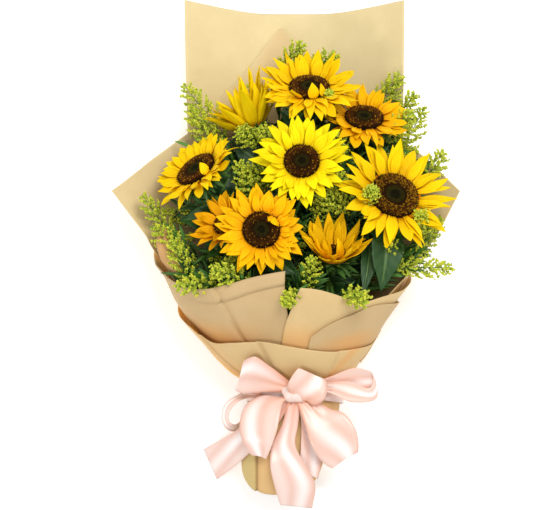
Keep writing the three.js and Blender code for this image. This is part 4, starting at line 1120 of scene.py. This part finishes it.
def add_calyx(shape, head):
    """A green cup under the petals with three rings of bracts."""
    rim = head.disc + 3
    profile = [
        (0.01, CUP_TOP), (rim - 1, CUP_TOP), (rim, -6), (rim - 1.5, -8), (0.8 * head.disc, -11),
        (0.5 * head.disc + 2, -13.5), (STEM + 1.6, -16.4), (STEM + 0.4, -CUP_DEPTH), (0.01, -CUP_DEPTH),
    ]
    add_lathe(shape, head, profile, 28, LEAF_TINT * 0.9)
    count = 10 + int(0.3 * head.disc)
    for ring, (inset, height, drop) in enumerate([(1.2, -6.6, 20), (3.2, -9, 30), (6, -11.5, 44)]):
        for k in range(count):
            key = k + 40 * ring + head.seed
            turn = 2 * math.pi * (k + 0.5 * ring + 0.2 * spread(key, 1)) / count
            lift = head.lift - drop + 9 * spread(key, 3)
            length = lerp(13, 19, noise(key, 4)) * min(1.0, 0.5 + head.disc / 30)
            width = lerp(3.4, 4.8, noise(key, 5))
            add_bract(shape, head, turn, rim - inset, height, lift, length, width, key)
    long_bracts = LONG_BRACTS.get(head.name, 0)
    for k in range(long_bracts):
        turn = 2 * math.pi * (k + 0.3 * spread(k, 21)) / long_bracts
        length = lerp(20, 29, noise(k, 22))
        add_bract(shape, head, turn, 8, -12 - 3 * noise(k, 23), -6 + 22 * spread(k, 24), length, 5, k + 300)


# shares of a leaf's length and of its width; shares of the length between which its edges wave
LEAF_SHARES = [(0, 0.07), (0.16, 0.13), (0.26, 0.76), (0.36, 0.84), (0.46, 0.98), (0.58, 0.88), (0.7, 0.76),
               (0.84, 0.42), (1, 0.0)]
LEAF_WAVES = [0.0, 0.16, 0.26, 0.36, 0.46, 0.58, 0.7, 0.84]
# head, share of the stem at which the leaf begins, its tip, the way it faces, width and seed
LEAVES = [
    ("f", 0.9, [104, -54, 104], [0.2, -0.4, 0.9], 20, 1),
    ("f", 0.74, [84, -60, 108], [0, -0.5, 0.9], 10, 2),
    ("f", 0.84, [152, 6, 92], [0.3, 0, 1], 15, 3),
    ("c", 0.84, [42, 142, 86], [-0.2, 0.2, 1], 15, 4),
    ("c", 0.62, [96, 96, 84], [0.3, 0, 1], 17, 5),
    ("b", 0.82, [-8, 158, 74], [0, 0, 1], 14, 6),
    ("e", 0.84, [-62, 86, 92], [0.2, -0.2, 1], 16, 7),
    ("e", 0.7, [-122, 34, 66], [-0.2, 0, 1], 17, 8),
    ("a", 0.8, [-62, 122, 66], [0, 0, 1], 15, 9),
    ("d", 0.8, [-26, 58, 100], [0, 0, 1], 15, 10),
    ("g", 0.78, [12, -36, 112], [0, -0.3, 1], 15, 11),
    ("i", 0.74, [-84, -34, 98], [-0.2, -0.2, 1], 15, 12),
    ("h", 0.86, [66, -44, 110], [0, -0.6, 0.8], 13, 13),
]


def add_leaf(shape, start, end, face, width, seed):
    """A sunflower leaf: toothed edges that wave, a sunk midrib and side veins."""
    length = np.linalg.norm(end - start)
    axis = unit(end - start)
    upward = unit(vec(*face) - axis * vec(*face).dot(axis))
    side = np.cross(axis, upward)
    green = lerp(LEAF_DARK, LEAF_TINT, noise(seed, 3))
    waves = [spread(k, seed) * (k > 1) for k in range(len(LEAF_WAVES))]
    levels = np.linspace(0, 1, 34)
    rows, tints = [], []
    for s in levels:
        middle = start + axis * s * length + upward * 0.14 * length * math.sin(math.pi * s)
        tooth = 1 + 0.09 * (((s * 13) % 1) - 0.5) * smooth(s, 0.2, 0.3)
        half = width * np.interp(s, *zip(*LEAF_SHARES)) * tooth
        wave = 0.16 * width * np.interp(s, LEAF_WAVES, waves) * (s < 0.93)
        for u in np.linspace(-1, 1, 13):
            vein = abs(((s * 8 - 1.4 * abs(u)) % 1) - 0.5) * 2
            rib = -0.9 * bell(u, 0, 0.09) - 0.45 * (1 - vein) ** 2 * min(1, 3 * abs(u))
            lift = 0.28 * half * abs(u) ** 1.2 - wave * u + rib + 0.5
            rows.append(middle + side * half * u + upward * lift)
            pale = max(bell(u, 0, 0.07), 0.45 * max(0.0, 1 - 3.2 * vein))
            tints.append(lerp(green, VEIN_TINT, 0.6 * pale))
    add_blade(shape, rows, len(levels), tints, thick=0.7)


def make_stem(head):
    node = f"sunflower_{head.name}_stem"
    tree = node_tree(node)
    shape = Shape()
    line = stem_line(head, 46)
    swell = STEM * (0.93 + 0.12 * np.linspace(0, 1, len(line)) ** 8)
    add_tube(shape, line, swell, 12, STEM_TINT)
    add_calyx(shape, head)
    for on, share, to, face, width, seed in LEAVES:
        if on == head.name and miss(tree, vec(*to)) < 0.3:  # only a leaf that the node has too
            add_leaf(shape, cubic(*stem_bend(head), share), vec(*to), face, width, seed)
    make_piece(f"stem_{head.name}", shape, GREEN, [node])


# ---------------------------------------------------------------- goldenrod
# the stem and the angle beside which a spray's stalk stands in the tie, then its plumes: base, middle, tip
# and width
SPRAYS = {
    "back": ("b", -133, [
        ([-4, 204, 36], [2, 228, 50], [18, 240, 60], 9),
        ([26, 204, 36], [40, 226, 52], [58, 222, 64], 9),
    ]),
    "back_left": ("a", 198, [
        ([-66, 128, 50], [-94, 160, 54], [-118, 194, 58], 12),
        ([-72, 112, 56], [-96, 136, 60], [-112, 164, 66], 11),
    ]),
    "left": ("e", 180, [
        ([-124, 10, 60], [-146, 36, 68], [-164, 62, 76], 8),
    ]),
    "back_right": ("c", -10, [
        ([92, 158, 34], [114, 188, 40], [131, 206, 50], 10),
        ([112, 140, 36], [132, 164, 48], [146, 182, 62], 9),
    ]),
    "right": ("f", -42, [
        ([118, 98, 50], [140, 132, 58], [156, 166, 64], 10),
        ([142, 66, 62], [164, 88, 78], [176, 108, 92], 9),
    ]),
    "middle_right": ("h", 0, [
        ([70, 34, 84], [62, 62, 106], [54, 76, 130], 9),
        ([56, 92, 82], [58, 108, 94], [58, 124, 106], 8),
    ]),
    "middle_left": ("e", 0, [
        ([-30, 46, 84], [-44, 66, 100], [-56, 92, 112], 10),
        ([-10, 104, 76], [-18, 126, 86], [-30, 134, 96], 9),
    ]),
    "centre": ("g", 46, [
        ([36, 22, 80], [38, 40, 96], [36, 54, 112], 7),
        ([-6, 26, 84], [-10, 40, 98], [-6, 52, 112], 6),
    ]),
    "front_left": ("e", 130, [
        ([-100, -26, 66], [-128, 0, 76], [-150, 24, 84], 11),
        ([-104, -46, 84], [-120, -24, 100], [-128, 4, 112], 9),
    ]),
    "front_low": ("i", 150, [
        ([-72, -48, 96], [-96, -46, 118], [-124, -54, 134], 9),
        ([-38, -52, 112], [-60, -42, 132], [-84, -36, 146], 10),
    ]),
    "front": ("g", 105, [
        ([8, -58, 116], [4, -66, 142], [-4, -76, 158], 6),
        ([18, -54, 108], [26, -38, 124], [28, -22, 138], 8),
    ]),
    "front_middle": ("h", 75, [
        ([62, -60, 112], [74, -62, 138], [86, -72, 154], 9),
    ]),
    "front_right": ("f", 30, [
        ([118, -26, 92], [152, -24, 98], [186, -26, 92], 9),
        ([134, -14, 70], [158, 6, 80], [174, 34, 86], 8),
    ]),
}
SHIFTS = [vec(0, 0, 0)] + [
    vec(reach * math.cos(k * math.pi / 4), 0, reach * math.sin(k * math.pi / 4))
    for reach in (6, 12, 18)
    for k in range(8)
]
GOLDEN_TURN = 2.39996  # the golden angle, by which a leaf, branch or floret is turned from the one before
LOWEST_LEAF = 7  # foliage keeps this far above the table, clear of the paper


def section_reach(radius, sides, angle):
    """How far a regular tube section with a corner at its foot reaches at an angle."""
    step = 360 / sides
    past = (angle + 90) % step
    return radius * math.cos(math.radians(min(past, step - past)))


def tie_beside(name, angle):
    """Where a stalk stands in the tie, against the side of a stem."""
    x, z = tie_at(HEADS[name])
    reach = section_reach(STEM, STEM_SIDES, angle) + section_reach(SPRIG, SPRIG_SIDES, angle + 180)
    away = reach + 1.3 * CLEAR
    return x + away * math.cos(math.radians(angle)), z + away * math.sin(math.radians(angle))


def stalk_bend(start, base, ahead, shift):
    run = np.linalg.norm(base - start)
    return start, start + vec(0, 0.4 * run, 0) + shift, base - ahead * 0.25 * run + shift, base


def plume_curve(plume):
    base, middle, tip = (vec(*p) for p in plume[:3])
    return lambda t: quadratic(base, middle, tip, t)


def spray_lines(spray, shift):
    """The stalks of a spray, each as the line that its CAD tube follows."""
    name, angle, plumes = spray
    x, z = tie_beside(name, angle)
    lines, trunk = [], None
    for plume in plumes:
        curve = plume_curve(plume)
        ahead = unit(curve(0.1501) - curve(0.1499))
        start = cubic(*trunk, 0.55) if trunk else vec(x, NECK + 6, z)
        bend = stalk_bend(start, curve(0.3), ahead, shift)
        steps = 5 if trunk else 7
        points = [cubic(*bend, k / steps) for k in range(steps + 1)]
        if not trunk:
            points = [vec(x, STEM_END + 10 * noise(x, z), z), vec(x, NECK - 4, z)] + points
        lines.append(curve_through(points, 80))
        trunk = trunk or bend
    return lines


def found_shift(spray, tree):
    """The shift that the CAD gave a spray: its tubes' corners are one radius from their line.

    The spray beside head a has no shift, since its plumes stand off the solid's place, as in the photo.
    """
    if spray[0] == "a":
        return SHIFTS[0]

    def error(shift):
        total = 0
        for line, count in zip(spray_lines(spray, shift), (9, 6)):
            total += sum(abs(miss(tree, p) - SPRIG) for p in spaced(line, count)[1:-1])
        return total

    return min(SHIFTS, key=error)


def plume_radius(s, wide):
    return wide * max(0.0, math.sin(math.pi * s ** 0.75)) ** 0.8


FLORET_LOW = linear(0x90B02C)
FLORET_HIGH = linear(0xEEE640)
BUD_POINTS, BUD_FACES = bud_form(4, 0.5, 0.45)


PLUME_STEPS = 24
PLUME_BRANCHES = 36


def add_plume(shape, plume, key):
    """Arching side branches all round the axis, each set with small florets."""
    curve = plume_curve(plume)
    line = np.array([curve(k / PLUME_STEPS) for k in range(PLUME_STEPS + 1)])
    side, over = frames_along(line)
    add_tube(shape, line, np.linspace(0.9, 0.3, len(line)), 5, STEM_TINT * 0.9)
    places, tints = [], []
    for k in range(PLUME_BRANCHES):
        s = 0.03 + 0.94 * (k + 0.5) / PLUME_BRANCHES
        n = int(s * PLUME_STEPS)
        away = aside(side[n], over[n], k * GOLDEN_TURN + key)
        ahead = unit(line[n + 1] - line[n - 1])
        length = 1.28 * plume_radius(s, plume[3]) * lerp(0.8, 1.12, noise(k, key)) + 2.2
        points = []
        for t in np.linspace(0, 1, 6):
            spot = curve(s) + away * length * t + ahead * (0.7 * length * t * t)
            spot = spot - vec(0, 0, 0.12 * length * t * t)
            points.append(vec(spot[0], spot[1], max(spot[2], LOWEST_LEAF)))
        add_tube(shape, points, np.linspace(0.42, 0.2, len(points)), 3, STEM_TINT)
        florets = int(4 + 1.15 * length)
        for f in range(florets):
            t = lerp(0.28, 1.03, (f + 0.5) / florets)
            aim = unit(vec(spread(f, k + key), spread(f, k + 7.7 + key), 0.5 + 0.9 * noise(f, k + 3)))
            bright = noise(f + 2.1 * k, key + 1)
            axes = axes_of(aim, lerp(0.95, 1.5, bright), lerp(1.9, 3.0, noise(f, k)))
            places.append((at_share(points, t) + aim * 0.5, axes))
            tints.append(lerp(FLORET_LOW, FLORET_HIGH, min(1, 0.1 + 0.75 * bright * (0.35 + 0.65 * t))))
    shape.scatter(BUD_POINTS, BUD_FACES, places, tints)


FRONT_RIMS = -34  # above this y the foliage is free of the front sheets
FROM_SIDES, FROM_TOP = 7, 4  # how far inside them it keeps below


def kept_inside(point):
    """A point of the foliage, moved back inside the front sheets where it would come through them."""
    x, y, z = point
    if y > FRONT_RIMS:
        return point
    _, middle, width, _, side, top, _ = wrap_row(round(y))
    x = min(middle + width - FROM_SIDES, max(middle - width + FROM_SIDES, x))
    across = abs((x - middle) / width) ** (ROUND / 2)
    roof = side + (top - side) * (1 - across ** 2) ** (1 / ROUND) - FROM_TOP
    return vec(x, y, min(z, roof))


def hides_head(point):
    """Whether a point lies over the petals of a head."""
    for head in HEADS.values():
        away = point - head.centre
        height = away.dot(head.normal)
        if -4 < height < 60 and np.linalg.norm(away - head.normal * height) < 0.8 * head.reach:
            return True
    return False


def add_lance(shape, start, ahead, upward, length, width, tint):
    """A narrow leaf of a goldenrod stalk, which arches over towards its tip."""
    if any(hides_head(start + ahead * length * s - vec(0, 0, 0.28 * length * s * s)) for s in (0.5, 0.88)):
        return
    side = unit(np.cross(ahead, upward))
    over = np.cross(side, ahead)
    levels = np.linspace(0, 1, 8)
    rows, tints = [], []
    for s in levels:
        middle = start + ahead * length * s * (1 - 0.12 * s) - over * 0.28 * length * s * s
        half = width * math.sin(math.pi * min(1, 0.06 + 0.94 * s)) ** 0.7 * (1 - 0.35 * s)
        for u in (-1, 0, 1):
            rows.append(kept_inside(middle + side * half * u + over * 0.35 * half * abs(u)))
            tints.append(tint * (1.0 if u else 1.35))
    add_blade(shape, rows, len(levels), tints, thick=0.5)


STALK_STEPS = 96
LEAFLESS_BELOW = -96  # no leaf grows nearer the tie than this y


def add_stalk_leaves(shape, line, key):
    points = spaced(line, STALK_STEPS)
    side, over = frames_along(points)
    for n in range(20, STALK_STEPS - 2):
        if points[n][1] < LEAFLESS_BELOW or noise(n, key) < 0.3:
            continue
        away = aside(side[n], over[n], n * GOLDEN_TURN + key)
        ahead = unit(points[n + 1] - points[n - 1])
        aim = unit(0.75 * away + ahead)
        length = lerp(20, 36, noise(n, key + 2))
        if points[n][2] + aim[2] * length - 0.28 * length < LOWEST_LEAF:
            continue
        tint = lerp(LEAF_DARK, linear(0x4F7F2A), noise(n, key + 3))
        upward = unit(vec(0, 0, 1) + away * 0.3)
        add_lance(shape, points[n], aim, upward, length, lerp(1.8, 3.0, noise(n, key)), tint)


def make_spray(name):
    node = f"goldenrod_{name}"
    spray = SPRAYS[name]
    shape = Shape()
    lines = spray_lines(spray, found_shift(spray, node_tree(node)))
    for k, (line, plume) in enumerate(zip(lines, spray[2])):
        key = len(name) + 3 * k
        add_tube(shape, spaced(line, 40), np.linspace(1.3, 1.0, 40), 6, STEM_TINT * 0.8)
        add_stalk_leaves(shape, line, key)
        add_plume(shape, plume, key)
    make_piece(f"spray_{name}", shape, FLORET, [node])


# ---------------------------------------------------------------- leafy twigs between the heads
FILL_STEP = 17  # twigs stand about this far apart, in an oval seen from above
FILL_MIDDLE = vec(10, 66)
FILL_REACH = vec(146, 134)
FILL_CELLS = range(-9, 10)


def stem_spots():
    bends = [stem_bend(head) for head in HEADS.values()]
    return np.array([cubic(*bend, t) for bend in bends for t in np.linspace(0.4, 0.92, 18)])


def stem_behind(spots, point, gap):
    """The nearest spot on a stem that lies at least the gap nearer the tie."""
    behind = spots[spots[:, 1] < point[1] - gap]
    return behind[np.argmin(np.linalg.norm(behind - point, axis=1))]


TWIG_FLORETS = 46


def add_twig(shape, base, tip, bare, key):
    """A thin side branch with narrow leaves, and florets at the end unless it is bare."""
    lean = base + vec(0, 0.35, 0.1) * np.linalg.norm(tip - base)
    line = np.array(arc(base, lean, tip, 9))
    add_tube(shape, line, np.linspace(0.8, 0.4, len(line)), 4, STEM_TINT * 0.7)
    side, over = frames_along(line)
    ahead = unit(line[-1] - line[-3])
    for n in range(12):
        at = 3 + int(n / 2.4)
        aim = unit(0.9 * aside(side[at], over[at], n * GOLDEN_TURN + key) + ahead)
        tint = lerp(linear(0x1E3C1C), linear(0x4C7C2C), noise(n, key + 3) ** 1.3)
        length, width = lerp(16, 34, noise(n, key + 2)), lerp(1.8, 3.4, noise(n, key))
        add_lance(shape, line[at], aim, vec(0, 0, 1), length, width, tint)
    if bare:
        return
    places, tints = [], []
    for k in range(TWIG_FLORETS):
        s = (k + 0.5) / TWIG_FLORETS
        away = aside(side[-1], over[-1], k * GOLDEN_TURN)
        out = away * 6.5 * math.sin(math.pi * (0.15 + 0.85 * s)) * noise(k, key)
        bright = noise(k, key + 1)
        axes = axes_of(unit(away + ahead), lerp(0.85, 1.4, bright), lerp(1.8, 2.8, bright))
        places.append((line[-1] + ahead * (14 * s - 5) + out, axes))
        tints.append(lerp(FLORET_LOW, FLORET_HIGH, 0.1 + 0.6 * bright))
    shape.scatter(BUD_POINTS, BUD_FACES, places, tints)


# plumes that the solids don't have: base, middle, tip and width
LOOSE_PLUMES = [
    ([65, 39, 92], [57, 45, 104], [43, 56, 114], 10),
    ([-13, 69, 88], [-28, 77, 98], [-49, 86, 106], 10),
    ([108, 124, 66], [126, 136, 76], [141, 155, 84], 11),
    ([-29, 124, 70], [-42, 124, 80], [-56, 132, 88], 9),
    ([39, 155, 84], [45, 164, 96], [48, 174, 104], 6),
    ([159, 11, 104], [153, 23, 116], [145, 31, 126], 8),
    ([85, 40, 118], [91, 48, 130], [96, 58, 138], 6),
    ([126, -23, 92], [117, -9, 102], [110, 3, 110], 8),
    ([-46, -15, 96], [-55, -21, 106], [-66, -29, 114], 8),
]


def add_loose_plumes(shape, spots):
    """Goldenrod between and over the heads, each plume on a thin stalk from the nearest stem behind it."""
    for k, plume in enumerate(LOOSE_PLUMES):
        foot = vec(*plume[0])
        line = arc(stem_behind(spots, foot, 6), foot - (vec(*plume[1]) - foot), foot, 12)
        add_tube(shape, line, np.linspace(1.0, 0.8, len(line)), 5, STEM_TINT * 0.8)
        add_plume(shape, plume, 40 + 3 * k)


def twig_at(flat, reach, key):
    """The tip of the twig at a place seen from above, and whether it is bare, as under every head."""
    tip = vec(flat[0], flat[1], 94 - 34 * reach + 9 * spread(key, 3))
    bare = noise(key, 5) < 0.35
    for head in HEADS.values():
        near = np.linalg.norm(flat - head.centre[:2])
        bare = bare or near < 0.7 * head.reach
        if near < 0.9 * head.reach:
            tip[2] = max(30, min(tip[2], head.centre[2] - 24))
    return tip, bare


def make_fill():
    spots = stem_spots()
    parts = {name: Shape() for name in ("left", "middle", "right")}
    for i in FILL_CELLS:
        shape = parts["left" if i < -2 else "middle" if i < 3 else "right"]
        for j in FILL_CELLS:
            key = i + 31 * j
            flat = FILL_MIDDLE + FILL_STEP * vec(i + 0.4 * spread(key, 1), j + 0.4 * spread(key, 2))
            reach = np.sum(((flat - FILL_MIDDLE) / FILL_REACH) ** 2)
            if reach <= 1:
                tip, bare = twig_at(flat, reach, key)
                add_twig(shape, stem_behind(spots, tip, 12), tip, bare, key)
    for name, shape in parts.items():
        make_piece(f"foliage_{name}", shape, FLORET, [])
    loose = Shape()
    add_loose_plumes(loose, spots)
    make_piece("goldenrod_loose", loose, FLORET, [])


# ---------------------------------------------------------------- ribbon and twine
# both edges of each loop and tail, as [x, y, height over the collar], or [x, y, 0, z] beside it
BOW = {
    "upper_left": [
        [[4, -152, 9], [-19, -137, 16], [-37, -127, 21], [-48, -131, 20], [-40, -131, 14],
         [-18, -139, 10], [2, -154, 6]],
        [[0, -162, 12], [-26, -163, 18], [-50, -165, 21], [-58, -160, 16], [-50, -162, 10],
         [-26, -162, 9], [-2, -163, 7]],
    ],
    "upper_right": [
        [[14, -154, 8], [43, -152, 13], [68, -151, 17], [92, -158, 16], [96, -142, 11], [76, -136, 8],
         [46, -146, 9], [14, -157, 9]],
        [[12, -164, 10], [44, -163, 15], [72, -174, 19], [99, -170, 14], [100, -156, 8], [84, -158, 7],
         [48, -161, 9], [12, -165, 7]],
    ],
    "middle": [
        [[0, -166, 8], [6, -152, 12], [12, -139, 16], [6, -146, 24], [0, -158, 24], [2, -166, 16]],
        [[26, -162, 8], [34, -152, 11], [42, -149, 17], [45, -158, 25], [41, -172, 26], [34, -179, 18]],
    ],
    "lower_left": [
        [[-8, -170, 9], [-31, -166, 14], [-48, -180, 22], [-53, -206, 25], [-46, -224, 21],
         [-38, -232, 12], [-40, -214, 5], [-26, -190, 5], [-8, -174, 5]],
        [[4, -170, 11], [-4, -174, 16], [-8, -188, 24], [-12, -208, 28], [-18, -226, 24], [-24, -237, 13],
         [-20, -216, 5], [-8, -192, 5], [6, -174, 7]],
    ],
    "lower_right": [
        [[10, -172, 9], [19, -198, 17], [28, -226, 21], [40, -241, 16], [50, -246, 10], [40, -232, 5],
         [26, -206, 5], [14, -178, 5]],
        [[24, -168, 12], [48, -181, 18], [63, -187, 24], [77, -208, 26], [78, -230, 20], [62, -222, 6],
         [48, -196, 5], [26, -174, 6]],
    ],
    "thin_left": [
        [[-30, -162, 9], [-46, -160, 0, 60], [-58, -165, 0, 58], [-69, -173, 0, 52], [-73, -186, 0, 44],
         [-69, -198, 0, 34], [-60, -201, 0, 28], [-50, -192, 0, 26], [-40, -182, 5]],
        [[-28, -168, 7], [-43, -168, 0, 63], [-53, -171, 0, 66], [-62, -179, 0, 66], [-66, -187, 0, 62],
         [-64, -194, 0, 52], [-58, -195, 0, 44], [-48, -187, 0, 40], [-36, -180, 6]],
    ],
    "tail_middle": [
        [[2, -168, 8], [-6, -198, 7], [-18, -226, 7], [-19, -246, 10], [-14, -268, 11], [-8, -286, 7]],
        [[16, -168, 8], [12, -198, 7], [9, -222, 7], [22, -246, 11], [31, -264, 12], [28, -289, 7]],
    ],
    "tail_right": [
        [[8, -166, 10], [15, -192, 5], [15, -222, 5], [13, -250, 5]],
        [[24, -166, 10], [32, -190, 6], [40, -226, 8], [34, -258, 9]],
    ],
    "tail_left": [
        [[-2, -164, 10], [-22, -178, 5], [-36, -188, 4], [-56, -202, 0, 48], [-76, -211, 0, 26],
         [-95, -219, 0, 4]],
        [[4, -176, 9], [-12, -200, 3], [-24, -216, 4], [-42, -229, 0, 54], [-60, -242, 0, 28],
         [-79, -253, 0, 4]],
    ],
}
BAND_OUT = COLLAR_AT_NECK + PAPER + 2.7
RIBBON_COLUMNS = [2 * c / 12 - 1 for c in range(13)]


def front_height(x, y):
    """About how high the collar's outer face lies at a place seen from above."""
    _, middle, width = wrap_row(y)[:3]
    reach = clamp((x - middle) / width, -0.8, 0.8)
    turn = 180 + math.copysign(math.degrees(math.asin(abs(reach) ** (ROUND / 2))), reach)
    out = lerp(COLLAR_AT_NECK, COLLAR["out"], smooth(y, -152, -128)) + 2 * smooth(y, -160, -110)
    return (wrap_point(y, turn) + wrap_normal(y, turn) * (out + PAPER))[2]


def ribbon_point(key):
    x, y, over = key[:3]
    return vec(x, y, key[3] if len(key) > 3 else front_height(x, y) + over)


def knotted(t, tail, rate):
    """How near the knot a place along a ribbon is: a tail goes into it at one end, a loop at both."""
    return math.exp(-rate * t) + (0 if tail else math.exp(-rate * (1 - t)))


def ribbon_shade(t, u, tail, key):
    """Satin with a painted white highlight along its crests, painted pink shade beside them and painted
    orange-pink shade at its edges and where it goes into the knot.
    """
    off = u - 0.45 * math.sin(4.2 * t + key)
    shading_streak = bell(off, 0, 0.26) * (0.45 + 0.55 * math.sin(math.pi * t) ** 2)
    rosy_shade = 0.8 * bell(off, 0.5, 0.25) + 0.7 * bell(off, -0.6, 0.22)
    tint = lerp(RIBBON_TINT, RIBBON_SHADE, min(1, rosy_shade))
    tint = lerp(tint, RIBBON_HIGHLIGHT, shading_streak)
    # painted shade near the knot and at the edges
    peach_shade = 0.8 * knotted(t, tail, 6) + 0.25 * smooth(abs(u), 0.7, 1)
    return lerp(tint, RIBBON_PEACH_SHADE, min(0.85, peach_shade))


def ribbon_faces(edges, steps, tail):
    """Points on the two faces of a ribbon between its edges, gathered where it goes into the knot."""
    left, right = ([ribbon_point(key) for key in edge] for edge in edges)
    faces = [[], []]
    for k in range(steps + 1):
        t = k / steps
        a, b = catmull(left, t), catmull(right, t)
        past, before = min(1, t + 0.01), max(0, t - 0.01)
        ahead = catmull(left, past) - catmull(left, before)
        ahead = ahead + catmull(right, past) - catmull(right, before)
        face = unit(np.cross(ahead, b - a))
        tied = knotted(t, tail, 8)
        for points, side in zip(faces, (0.32, -0.32)):
            for u in RIBBON_COLUMNS:
                ripple = 1.3 * tied * math.cos(3 * math.pi * u + 0.6) + 0.5 * (u * u - 0.4) * (1 - tied)
                wave = 0.5 * math.sin(7 * t + 2.2 * u) * (1 - tied)
                points.append(lerp(a, b, (u + 1) / 2) + face * (side + ripple + wave))
    return [np.reshape(points, (steps + 1, -1, 3)) for points in faces]


def ribbon_piece(name, edges):
    tail = name.startswith("tail")
    steps = 50 if tail else 72
    tint = [ribbon_shade(k / steps, u, tail, len(name)) for k in range(steps + 1) for u in RIBBON_COLUMNS]
    shape = Shape()
    add_sheet(shape, *ribbon_faces(edges, steps, tail), tint + tint)
    piece = make_piece(f"ribbon_{name}", shape, SATIN_LOOK, ["ribbon_bow"], tidy_normals=True)


KNOT_RINGS, KNOT_SIDES = 24, 48


def make_knot():
    """A flattened ball with five folds that run into it."""
    shape = Shape()
    centre = vec(9, -164, front_height(9, -164) + 11.6)
    rows = []
    for r in range(KNOT_RINGS + 1):
        fall = math.pi * r / KNOT_RINGS
        for k in range(KNOT_SIDES):
            turn = 2 * math.pi * k / KNOT_SIDES
            fold = 1 + 0.07 * math.sin(5 * turn + 2.0 * math.cos(fall)) * math.sin(fall)
            x, y = 15 * math.sin(fall) * math.cos(turn), 11 * math.sin(fall) * math.sin(turn)
            rows.append(centre + vec(x, y, 7 * math.cos(fall)) * fold)
    shape.add(rows, grid_faces(KNOT_RINGS + 1, KNOT_SIDES, closed=True), RIBBON_TINT)
    make_piece("ribbon_knot", shape, SATIN_LOOK, ["ribbon_bow"])


def make_bow():
    make_knot()
    for name, edges in BOW.items():
        ribbon_piece(name, edges)


# corners of the band's section: y, and how far out of the band's inner face
BAND_PROFILE = [
    (-170, 0), (-165.75, 0), (-161, 0), (-157, 0), (-153, 0),
    (-153, 1.4), (-157, 1.15), (-161, 1.0), (-165.75, 1.2), (-170, 1.4),
]


def make_band():
    """The band round the collar, finely folded, whose upper edge waves."""
    rings = []
    for turn in range(0, 360, 3):
        wave = 0.5 * math.sin(math.radians(3 * turn))
        ring = []
        for y, out in BAND_PROFILE:
            fold = 0.25 * math.sin(math.radians(9 * turn) + 0.5 * y) if out else 0
            y = y + wave if y > -157 else y
            ring.append(wrap_point(y, turn) + wrap_normal(y, turn) * (BAND_OUT + out + fold))
        rings.append(ring)
    rings.append(rings[0])
    shape = Shape()
    shape.add(np.array(rings), grid_faces(len(rings), len(BAND_PROFILE), closed=True), RIBBON_TINT)
    make_piece("ribbon_band_satin", shape, SATIN_LOOK, ["ribbon_band"], tidy_normals=True)


TWINE_STEPS = 300


def make_twine():
    """Three strands, laid round each other in a ring round the stems."""
    shape = Shape()
    for strand in range(3):
        line = []
        for k in range(TWINE_STEPS + 1):
            turn = 2 * math.pi * k / TWINE_STEPS
            lay = 40 * turn + 2 * math.pi * strand / 3
            out, off = 0.35 * math.cos(lay), 1.1 * math.sin(lay)
            x, z = TIE_X + (23.4 + out) * math.cos(turn), TIE_Z + 7.9 + (17.2 + out) * math.sin(turn)
            line.append(vec(x, NECK + 2 + off, z))
        add_tube(shape, line, 0.6, 6, linear(0xB08F58))
    make_piece("twine", shape, JUTE, ["binding_twine"])


# ---------------------------------------------------------------- stage: floor, light and camera
FLOOR_HALF, FLOOR_Z = 4, -0.0004  # metres; the floor is just under the paper


def make_stage():
    mesh = bpy.data.meshes.new("floor")
    corners = [(-FLOOR_HALF, -FLOOR_HALF), (FLOOR_HALF, -FLOOR_HALF), (FLOOR_HALF, FLOOR_HALF),
               (-FLOOR_HALF, FLOOR_HALF)]
    mesh.from_pydata([(x, y, FLOOR_Z) for x, y in corners], [], [(0, 1, 2, 3)])
    floor = bpy.data.objects.new("floor", mesh)
    material, tree, shader = new_material("floor", 0.9, specular=0.1)
    shader.inputs["Base Color"].default_value = (0.93, 0.93, 0.925, 1)
    shader.inputs["Emission Color"].default_value = (1, 1, 1, 1)
    shader.inputs["Emission Strength"].default_value = 0.32
    mesh.materials.append(material)
    bpy.context.scene.collection.objects.link(floor)


def add_light(name, at, size, power):
    data = bpy.data.lights.new(name, "AREA")
    data.shape = "DISK"
    data.size = size
    data.energy = power
    light = bpy.data.objects.new(name, data)
    light.location = at
    light.rotation_euler = (Vector((0, 0, 0.05)) - Vector(at)).to_track_quat("-Z", "Y").to_euler()
    bpy.context.scene.collection.objects.link(light)


def make_light():
    bpy.context.scene.view_settings.view_transform = "Standard"
    world = bpy.data.worlds.new("studio")
    world.use_nodes = True
    world.node_tree.nodes["Background"].inputs["Color"].default_value = (1, 1, 1, 1)
    world.node_tree.nodes["Background"].inputs["Strength"].default_value = 0.72
    bpy.context.scene.world = world
    add_light("key", (0.6, 0.8, 2.3), 1.3, 36)
    add_light("fill", (-1.0, -1.2, 1.6), 0.3, 9)


CAMERA_TARGET = Vector((-0.0138, 0.0058, 0))
CAMERA_ELEVATION = math.radians(80)
CAMERA_DISTANCE = 3.5
FRAME_WIDTH = 0.6325


def make_camera():
    data = bpy.data.cameras.new("camera")
    data.sensor_width = 36
    data.lens = data.sensor_width * CAMERA_DISTANCE / FRAME_WIDTH
    camera = bpy.data.objects.new("camera", data)
    back = Vector((0, -math.cos(CAMERA_ELEVATION), math.sin(CAMERA_ELEVATION)))
    camera.location = CAMERA_TARGET + back * CAMERA_DISTANCE
    camera.rotation_euler = (-back).to_track_quat("-Z", "Y").to_euler()
    bpy.context.scene.collection.objects.link(camera)
    bpy.context.scene.camera = camera


make_camera()
make_light()
make_stage()
make_paper()
make_bow()
make_band()
make_twine()
for bloom in HEADS.values():
    make_petals(bloom)
    make_disc(bloom)
    make_stem(bloom)
for title in SPRAYS:
    make_spray(title)
make_fill()
